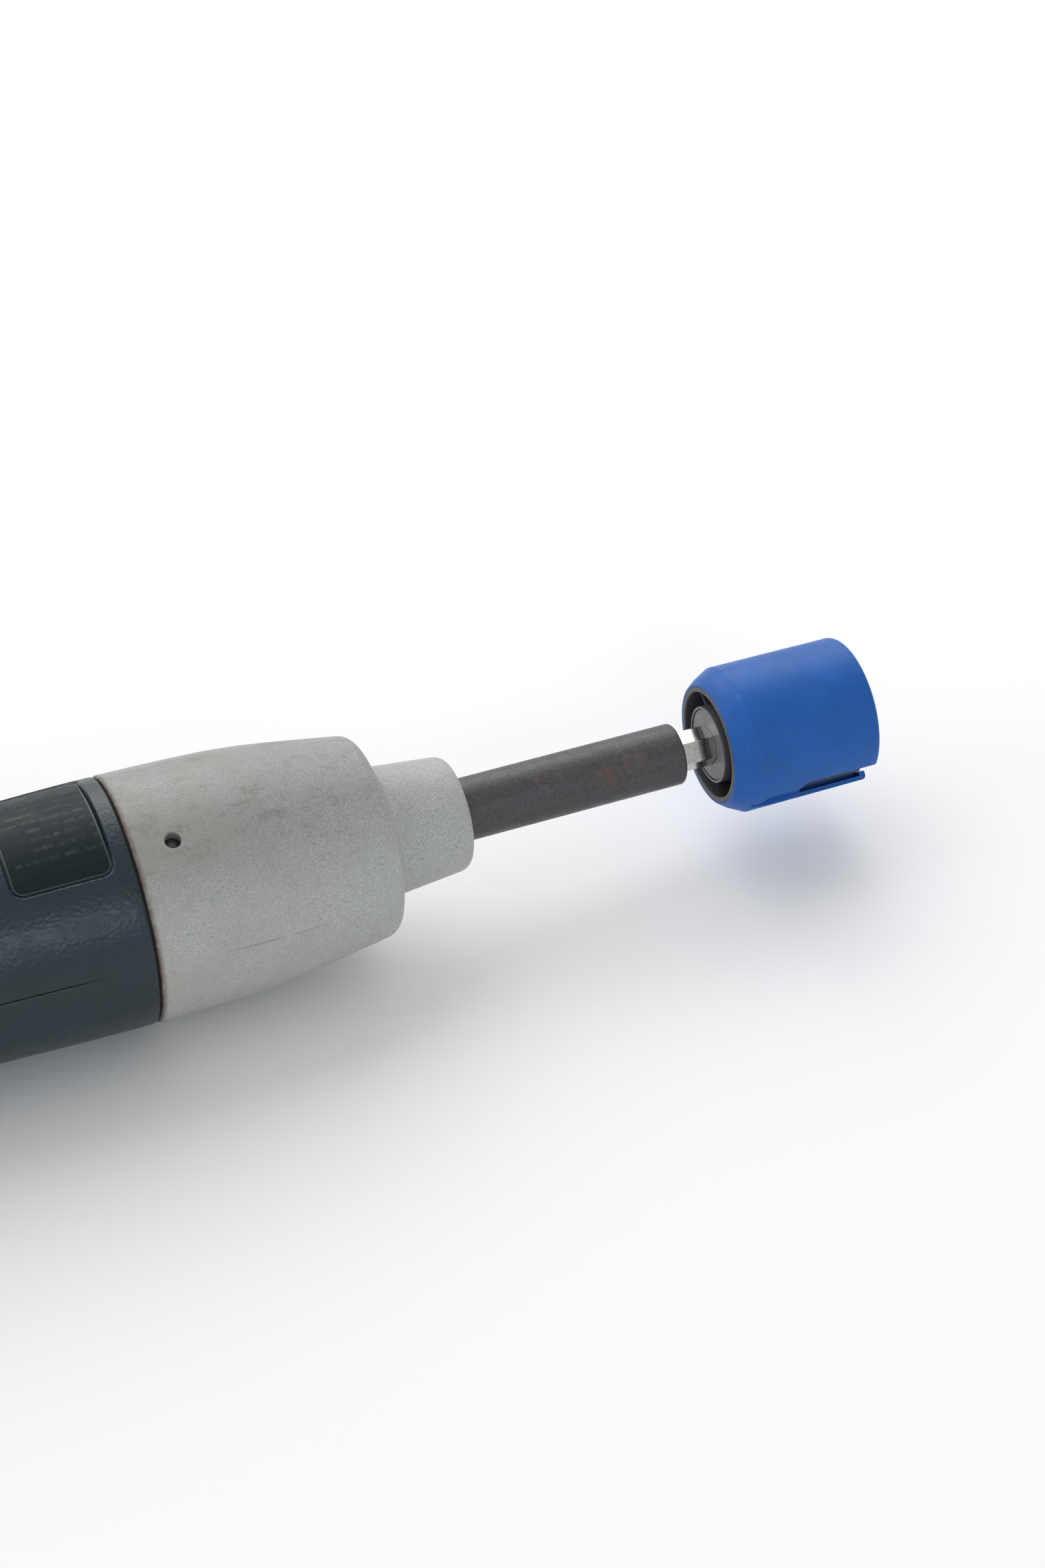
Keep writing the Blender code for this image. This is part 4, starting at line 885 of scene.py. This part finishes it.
def joint_seal():
    """The dark, grimy ring at the bottom of the gap between the case and the housing."""
    rear, front = HOUSING_FRONT - 1.2, HOUSING_FRONT + 0.28
    corners = [(front, 18.5), (front, 20.35, 0.1), (rear, 20.35, 0.1), (rear, 18.5)]
    piece(ring("joint_seal", corners), RUBBER, "root", "black_plastic")


# ---- housing

HANDLE = [  # station and half-width, from the front
    (HOUSING_FRONT, 21.08), (2.0, 21.12), (-4.0, 21.04), (-9.0, 20.92), (-16.0, 20.72), (-24.0, 20.5),
    (-40.0, 19.8), (-58.0, 19.0), (-82.0, 18.62), (-108.0, 19.2), (HOUSING_REAR, 19.95),
]
KEEL_HALF_WIDTH = 7.0
KEEL_ANGLE = degrees(atan2(KEEL_HALF_WIDTH, AXIS_HEIGHT))
KEEL_CORNER = hypot(KEEL_HALF_WIDTH, AXIS_HEIGHT)
WALL = 2.1
LABEL_MIDDLE = (LABEL_LOW.x + LABEL_HIGH.x) / 2
LABEL_HALF_X = (LABEL_HIGH.x - LABEL_LOW.x) / 2 + 0.3
LABEL_HALF_W = 13.45
LABEL_REACH = 21.2  # the radius that w is measured at
LABEL_ENDS = [LABEL_MIDDLE - LABEL_HALF_X, LABEL_MIDDLE + LABEL_HALF_X]
LABEL_FILLET = 2.2
GRIP_REAR, GRIP_FRONT, GRIP_PITCH = -118, -84, 4.6
SCREW_NODES = numbered("housing_screw", 4)


def handle_skin(x):
    return through(HANDLE, x)


def keel_share(x):
    return smoothstep(4.0, -9.0, x)


def section_radius(half_width, keel, from_down):
    """The handle's radius at an angle from straight down: a circle wrapped with the flat keel."""
    corner = half_width + (KEEL_CORNER - half_width) * keel
    angle = abs(from_down)
    if angle < KEEL_ANGLE:
        flat = corner * cos(radians(KEEL_ANGLE)) / cos(radians(angle))
        return max(half_width, flat)
    tangent = KEEL_ANGLE + degrees(acos(min(1.0, half_width / corner)))
    return half_width / cos(radians(max(0.0, tangent - angle)))


def soft_section(half_width, keel, elevation):
    """The section with the keel's corners rounded, and nothing below the ground."""
    from_down = (elevation + 90 + 180) % 360 - 180
    if abs(from_down) > 75:
        return half_width
    window = (-4, -2.7, -1.3, 0, 1.3, 2.7, 4)
    radius = sum(section_radius(half_width, keel, from_down + t) for t in window) / len(window)
    return min(radius, AXIS_HEIGHT / cos(radians(from_down)))


def label_edge(x, w):
    """Distance in mm inside (below 0) or outside the label recess's round-cornered outline."""
    dx = abs(x - LABEL_MIDDLE) - (LABEL_HALF_X - LABEL_FILLET)
    dw = abs(w) - (LABEL_HALF_W - LABEL_FILLET)
    return hypot(max(dx, 0), max(dw, 0)) + min(max(dx, dw), 0) - LABEL_FILLET


def recess_depth(elevation):
    """The label recess is deeper over the top than at its lower edges."""
    return 0.24 + 0.5 * max(0.0, cos(radians((elevation - 90) * 2.2)))


def relief(x, elevation):
    """How far the housing's skin lies below its plain form: the label recess and the grip grooves."""
    depth = 0.0
    from_top = elevation - 90
    w = radians(from_top) * LABEL_REACH
    edge = label_edge(x, w)
    if edge < 0.3:
        inside = smoothstep(0.16, -0.16, edge)
        depth += recess_depth(elevation) * inside
        step = exp(-(((x - LABEL_MIDDLE - LABEL_HALF_X + 0.25) / 0.24) ** 2))
        depth += 0.3 * step * smoothstep(30, 16, abs(from_top)) * inside
    if GRIP_REAR < x < GRIP_FRONT:
        wave = max(0.0, cos(2 * pi * (x - GRIP_FRONT + 2) / GRIP_PITCH)) ** 2
        ends = smoothstep(GRIP_REAR + 1, GRIP_REAR + 5, x)
        ends *= smoothstep(GRIP_FRONT - 1, GRIP_FRONT - 5, x)
        side = abs((elevation + 180) % 180 - 90)
        band = smoothstep(46, 58, side)
        below = 1.0 if sin(radians(elevation)) > -0.55 else 0.0
        depth += 0.5 * wave * ends * band * below
    return depth


def housing_stations():
    """(x, inset) pairs, close together at the label's ends, with the two rims rounded."""
    rear_end, front_end = LABEL_ENDS
    zones = [(rear_end - 0.4, rear_end + 2.2), (front_end - 2.2, front_end + 0.4)]
    middle = spaced(HOUSING_FRONT - 0.5, HOUSING_REAR + 0.4, 1.15, 0.2, zones)
    front = [(HOUSING_FRONT, 0.42), (HOUSING_FRONT - 0.06, 0.2), (HOUSING_FRONT - 0.2, 0.05)]
    rear = [(HOUSING_REAR + 0.12, 0.08), (HOUSING_REAR, 0.3)]
    return front + [(x, 0.0) for x in middle] + rear


def skin_radius(x, elevation):
    return soft_section(handle_skin(x), keel_share(x), elevation) - relief(x, elevation)


def half_shell(name, upper):
    """One half of the housing, as rows of closed rings: its skin, then its inside back again.
    The seam's edges are sharp at the front, where it hardly shows, and rounded further back."""
    sign, flip = (1, 180) if upper else (-1, -180)
    rows = []
    columns = 0
    for x, inset in housing_stations():
        opened = smoothstep(0.0, -10.0, x)
        seam = SPLIT + sign * (0.034 * opened - 0.014)
        edge = 0.006 + 0.34 * opened
        half_width = handle_skin(x) - inset
        first = degrees(asin((seam + sign * edge) / half_width))
        if upper:
            angles = spaced(first, flip - first, 2.6, 0.55, [(52.6, 60.5), (119.5, 127.4)])
        else:
            angles = spaced(first, flip - first, 2.4, 1.2, [(-118, -62)])
        if rows and len(angles) != columns:
            angles = resampled(angles, columns)
        columns = len(angles)
        outer = [(x, skin_radius(x, e) - inset, e) for e in angles]
        inner_first = degrees(asin(seam / (half_width - WALL)))
        last = flip - inner_first
        corner = []
        for k in range(4):
            a = pi / 2 * k / 4
            depth, rise = edge * (1 - sin(a)), edge * (1 - cos(a))
            r = half_width - depth
            corner.append((x, r, degrees(asin((seam + sign * rise) / r))))
        skin = corner + outer + [(x, r, flip - e) for x, r, e in reversed(corner)]
        count = len(skin)
        turns = [inner_first + (last - inner_first) * k / (count - 1) for k in range(count)]
        keel = keel_share(x) * 0.9
        inside = [(x, soft_section(half_width, keel, e) - WALL, e) for e in turns]
        rows.append([point(*p) for p in skin + inside[::-1]])
    return surface(name, rows, caps=True)


def resampled(values, count):
    """The list, stretched to another length."""
    last = len(values) - 1
    out = []
    for k in range(count):
        at = k * last / (count - 1)
        i = min(int(at), last - 1)
        out.append(values[i] + (values[i + 1] - values[i]) * (at - i))
    return out


ROCKER_X = (ROCKER_LOW.x + ROCKER_HIGH.x) / 2


def housing():
    """The two halves, with the switch's window above and the screws' wells below."""
    upper = half_shell("upper_shell", True)
    outline = rounded_box(12.0, 5.4, 1.6, ROCKER_X)
    cut(upper, pocket(outline, handle_skin, 90, 19.0, fillet_levels(6.0, 0.45)))
    piece(upper, GREEN, "root", "green_housing", "upper_housing")
    lower = half_shell("lower_shell", False)
    cutters = []
    for node in SCREW_NODES:
        middle, top = middle_of(node), box_mm(node)[1].z
        levels = [(-1, 2.35), (top - 18.0, 2.1), (top - 16.4, 2.1)]
        cutters.append(standing(middle.x, middle.y, levels))
    cut(lower, *cutters)
    piece(lower, GREEN, "root", "green_housing", "lower_housing")


def standing(x, y, levels, sides=36, name="cutter"):
    """A solid of revolution about a vertical line; levels are (height above the ground, radius)."""
    turns = [2 * pi * j / sides for j in range(sides)]
    rows = []
    for z, r in [(levels[0][0], 0.0), *levels, (levels[-1][0], 0.0)]:
        rows.append([Vector((x + r * cos(a), y + r * sin(a), z)) * MM for a in turns])
    return surface(name, rows)


def housing_screws():
    """Cross-headed screws, each turned to an angle of its own."""
    for number, node in enumerate(SCREW_NODES, start=1):
        low, high = box_mm(node)
        middle, z = middle_of(node), low.z
        levels = [(z + 0.1, 1.2), (z + 0.02, 1.45), (z + 0.12, 1.72), (z + 0.45, 1.85)]
        levels += [(z + 1.6, 1.85), (z + 1.7, 1.2), (high.z - 1, 1.2), (high.z, 0.5)]
        screw = standing(middle.x, middle.y, levels, 40, f"screw_{number}")
        arms = []
        for spin in (20 * number, 20 * number + 90):
            a = radians(spin)
            rows = []
            for height, reach, width in ((z - 0.4, 1.15, 0.26), (z + 1.0, 0.55, 0.2)):
                row = []
                for u, v in ((reach, width), (-reach, width), (-reach, -width), (reach, -width)):
                    dx, dy = turned(u, v, a)
                    row.append(Vector((middle.x + dx, middle.y + dy, height)) * MM)
                rows.append(row)
            arms.append(surface("cutter", rows, caps=True))
        cut(screw, *arms)
        piece(screw, ZINC, "root", "zinc_plate", node)


def rating_film():
    """The label, laid in its recess."""
    rows = []
    half_x, half_w, fillet = LABEL_HALF_X - 0.35, LABEL_HALF_W - 0.35, 1.9
    front, rear, count = LABEL_MIDDLE + half_x, LABEL_MIDDLE - half_x, 40
    for x in spaced(front, rear, 1.2, 0.25, [(front - fillet, front), (rear, rear + fillet)]):
        past = max(0.0, abs(x - LABEL_MIDDLE) - (half_x - fillet))
        half = half_w - fillet + sqrt(max(0.0, fillet**2 - past**2))
        skin, under = [], []
        for k in range(count + 1):
            w = half * (2 * k / count - 1)
            e = 90 + degrees(w / LABEL_REACH)
            floor = handle_skin(x) - recess_depth(e)
            lift = 0.17 if 0 < k < count else 0.12
            skin.append(point(x, floor + lift, e))
            under.append(point(x, floor + 0.03, e))
        rows.append(skin + under[::-1])
    film = surface("label", rows, caps=True)
    piece(film, FILM, "root", "label_film", "rating_label", sharp=50)


def label_border():
    """The thin raised line round the label's edge."""
    loops = []
    for inset, lift in ((0.4, 0.16), (0.4, 0.2), (0.68, 0.2), (0.68, 0.16)):
        half_x, half_w, fillet = LABEL_HALF_X - inset, LABEL_HALF_W - inset, LABEL_FILLET - inset
        outline = rounded_box(half_x, half_w, fillet, LABEL_MIDDLE, 8)
        loop = []
        for i, (x0, w0) in enumerate(outline):
            x1, w1 = outline[(i + 1) % len(outline)]
            steps = max(1, round(hypot(x1 - x0, w1 - w0) / 0.8))
            for k in range(steps):
                x, w = x0 + (x1 - x0) * k / steps, w0 + (w1 - w0) * k / steps
                e = 90 + degrees(w / LABEL_REACH)
                loop.append(point(x, handle_skin(x) - recess_depth(e) + lift, e))
        loops.append(loop)
    count = len(loops[0])
    loops = [loop if len(loop) == count else resampled(loop, count) for loop in loops]
    piece(surface("label_line", loops, along=True), BORDER, "root", "label_film")


def rear_cap():
    """The cap over the cells: the handle's section, drawn in over a rounded rear edge."""
    front, rear = CAP_HIGH.x, CAP_LOW.x
    half_width = handle_skin(HOUSING_REAR)
    levels = [(front, 0.30), (front - 0.12, 0.08), (front - 0.35, 0.0), (front - 1.5, 0.0)]
    levels += [(front - 1.65, 0.22), (front - 1.9, 0.22), (front - 2.05, 0.0), (front - 2.9, 0.0)]
    fillet = 3.0
    for k in range(7):
        a = pi / 2 * k / 6
        levels.append((rear + fillet * (1 - sin(a)), fillet * (1 - cos(a))))
    section = [(soft_section(half_width, 1.0, e), e) for e in range(0, 360, 3)]
    rows = [[point(front, 0, 0)] * len(section)]
    for x, inset in levels:
        rows.append([point(x, r - inset, e) for r, e in section])
    for share, sink in ((0.78, 0.0), (0.74, 0.25), (0.4, 0.35), (0.0, 0.35)):
        rows.append([point(rear + sink, (r - fillet) * share, e) for r, e in section])
    cap = surface("rear_cap", rows)
    centre = (0, middle_of("charge_socket").z - AXIS_HEIGHT)
    hole = [(rear - 1, 0), (rear - 1, 4.6), (rear + 0.25, 4.3), (rear + 0.9, 4.0)]
    hole += [(front + 0.5, 4.0), (front + 0.5, 0)]
    cut(cap, lathe("cutter", hole, False, 64, centre))
    piece(cap, CAP_BLACK, "root", "end_cap_plastic", "end_cap")
    mouth, end, bore = SOCKET_LOW.x, SOCKET_HIGH.x, 2.75
    barrel = [(mouth + 0.3, bore, 0.15), (mouth + 0.1, 3.75, 0.3), (end, 3.75), (end, 0.0)]
    barrel += [(mouth + 9.2, 0.0), (mouth + 9.2, bore)]
    jack = ring("charge_jack", barrel, sides=64, centre=centre)
    piece(jack, GLOSS_BLACK, "root", "black_plastic", "charge_socket")
    tip = [(mouth + 9.3, 0), (mouth + 9.3, 0.95), (mouth + 1.8, 0.95, 0.5), (mouth + 1.2, 0)]
    piece(lathe("charge_contact", rounded(tip), False, 32, centre), BRASS, "root", "brass")


# ---- rocker switch


RIDGE_START, RIDGE_END, RIDGE_PITCH = 3.5, 8.8, 1.3


def rocker():
    """A rocker pad with a dished top, grip ridges at both ends and rounded edges."""
    low, high = ROCKER_LOW, ROCKER_HIGH
    half_x, half_y = (high.x - low.x) / 2, (high.y - low.y) / 2
    rows = []
    columns = [-1.0, -0.97, -0.9, -0.75, -0.5, -0.25, 0, 0.25, 0.5, 0.75, 0.9, 0.97, 1.0]
    drop = {1.0: 0.9, 0.97: 0.42, 0.9: 0.12}
    for x in spaced(-half_x, half_x, 0.5, 0.16, [(-half_x, -3.4), (3.4, half_x)]):
        dish = 1.7 * (1 - min(1.0, abs(x) / 9.0) ** 2)
        top = high.z - 0.3 - dish - 2.4 * smoothstep(0.80, 1.04, abs(x) / half_x) ** 1.5
        ridge = 0.30 * max(0.0, cos(2 * pi * (abs(x) - 4.2) / RIDGE_PITCH)) ** 1.5
        ridge *= 1.0 if RIDGE_START < abs(x) < RIDGE_END else 0.0
        row = []
        for c in columns:
            fade = smoothstep(0.99, 0.80, abs(c))
            z = top + ridge * fade - drop.get(abs(c), 0.0)
            row.append(Vector((ROCKER_X + x, c * (half_y - 0.12), z)) * MM)
        bottom = low.z + 0.1
        under = [Vector((ROCKER_X + x, c * (half_y - 0.12), bottom)) * MM for c in reversed(columns)]
        rows.append(row + under)
    pad = surface("rocker_pad", rows, caps=True)
    piece(pad, CAP_BLACK, "rocker", "black_plastic", "switch_rocker", sharp=40)


# ---- what the CAD model already shows well

KEPT = {
    STEEL: [
        "output_spindle", "spindle_clip_ring", "spindle_circlip", "stage1_carrier",
        *numbered("stage2_pin", 3), *numbered("stage2_planet", 3),
        "ring_gear", "motor_shaft", "rocker_pin", "holder_clip_ring",
    ],
    ZINC: ["gearbox_plate", *numbered("motor_screw", 2), "motor_can"],
    NYLON: numbered("stage1_planet", 3),
    BRONZE: ["front_bushing"],
    BRASS: ["thrust_washer", "motor_pinion"],
    COPPER: ["armature", "commutator"],
    MAGNET: [*numbered("motor_magnet", 2), "holder_magnet"],
    GLOSS_BLACK: ["motor_end_cap", "switch_body"],
    NICKEL: ["cell_link", "grip_washer"],
    WRAP: ["cell_front", "cell_rear"],
    RED: ["lead_red"],
    BLACK_WIRE: ["lead_black"],
}


def dress_kept_nodes():
    for material, nodes in KEPT.items():
        for node in nodes:
            for material_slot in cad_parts[node].material_slots:
                material_slot.link = "OBJECT"
                material_slot.material = material


# ---- camera, floor and light


CAMERA_PLACE = (-0.067, -0.3485, 0.3358)  # metres, as are the floor and the lights
CAMERA_DOWN, CAMERA_TURN = 39.55, 22.52  # below level, and from +Y towards +X
FLOOR_HALF, FLOOR_HEIGHT = 3.0, -0.0004  # just under the part, so that the two don't fight
LIGHT_TARGET = (0.05, 0, 0.02)
WORLD_STRENGTH = 0.61
SOFTBOXES = (  # name, place, size, watts, tint
    ("overhead", (-0.1, 0.8, 1.0), (1.6, 1.1), 8.4, (1, 1, 1)),
    ("back_panel", (0.5, 1.15, 0.8), (1.7, 0.9), 7.5, (1, 1, 1)),
    ("front", (0.03, -0.88, 0.50), (0.42, 0.26), 1.4, (0.80, 0.91, 1.0)),
    ("left_rear", (-0.9, 0.1, 0.5), (0.6, 0.6), 1.6, (1, 1, 1)),
)


def camera():
    data = bpy.data.cameras.new("camera")
    data.lens = 65.05
    data.sensor_width = 36.0
    data.clip_start = 0.01
    obj = linked("camera", data)
    obj.location = CAMERA_PLACE
    obj.rotation_euler = (radians(90 - CAMERA_DOWN), 0, radians(-CAMERA_TURN))
    bpy.context.scene.camera = obj


def floor():
    ends = (-FLOOR_HALF, FLOOR_HALF)
    rows = [[Vector((x, y, FLOOR_HEIGHT)) for y in ends] for x in ends]
    ground = surface("floor", rows, around=False)
    f = Finish("pale_floor", (0.86, 0.86, 0.865), 0.8)
    f.paint(f.mix(f.noise(300, 2, 0.5), (0.85, 0.85, 0.855), (0.87, 0.87, 0.875)))
    ground.data.materials.append(f.material)


def softbox(name, at, size, watts, tint):
    data = bpy.data.lights.new(name, "AREA")
    data.shape = "RECTANGLE"
    data.size, data.size_y = size
    data.energy = watts
    data.color = tint
    obj = linked(name, data)
    obj.location = at
    aim = Vector(LIGHT_TARGET) - Vector(at)
    obj.rotation_euler = aim.to_track_quat("-Z", "Y").to_euler()


def lights():
    world = bpy.data.worlds.new("studio")
    world.use_nodes = True
    background = world.node_tree.nodes["Background"]
    background.inputs["Color"].default_value = (1.0, 1.0, 1.0, 1)
    background.inputs["Strength"].default_value = WORLD_STRENGTH
    bpy.context.scene.world = world
    for box in SOFTBOXES:
        softbox(*box)
    bpy.context.scene.view_settings.view_transform = "Standard"


camera()
floor()
lights()
head_sleeve()
head_core()
head_liner()
hub()
hex_shank("head_shank", (HOLDER_FRONT - 5.5, 1.2, 0.75), "winder_head", "winder_shank")
bit_holder()
hex_shank("holder_drive", (50.0, 1.4, 0.8), "bit_holder", "holder_shank")
gear_case()
case_pins()
joint_seal()
housing()
housing_screws()
rating_film()
label_border()
rear_cap()
rocker()
dress_kept_nodes()
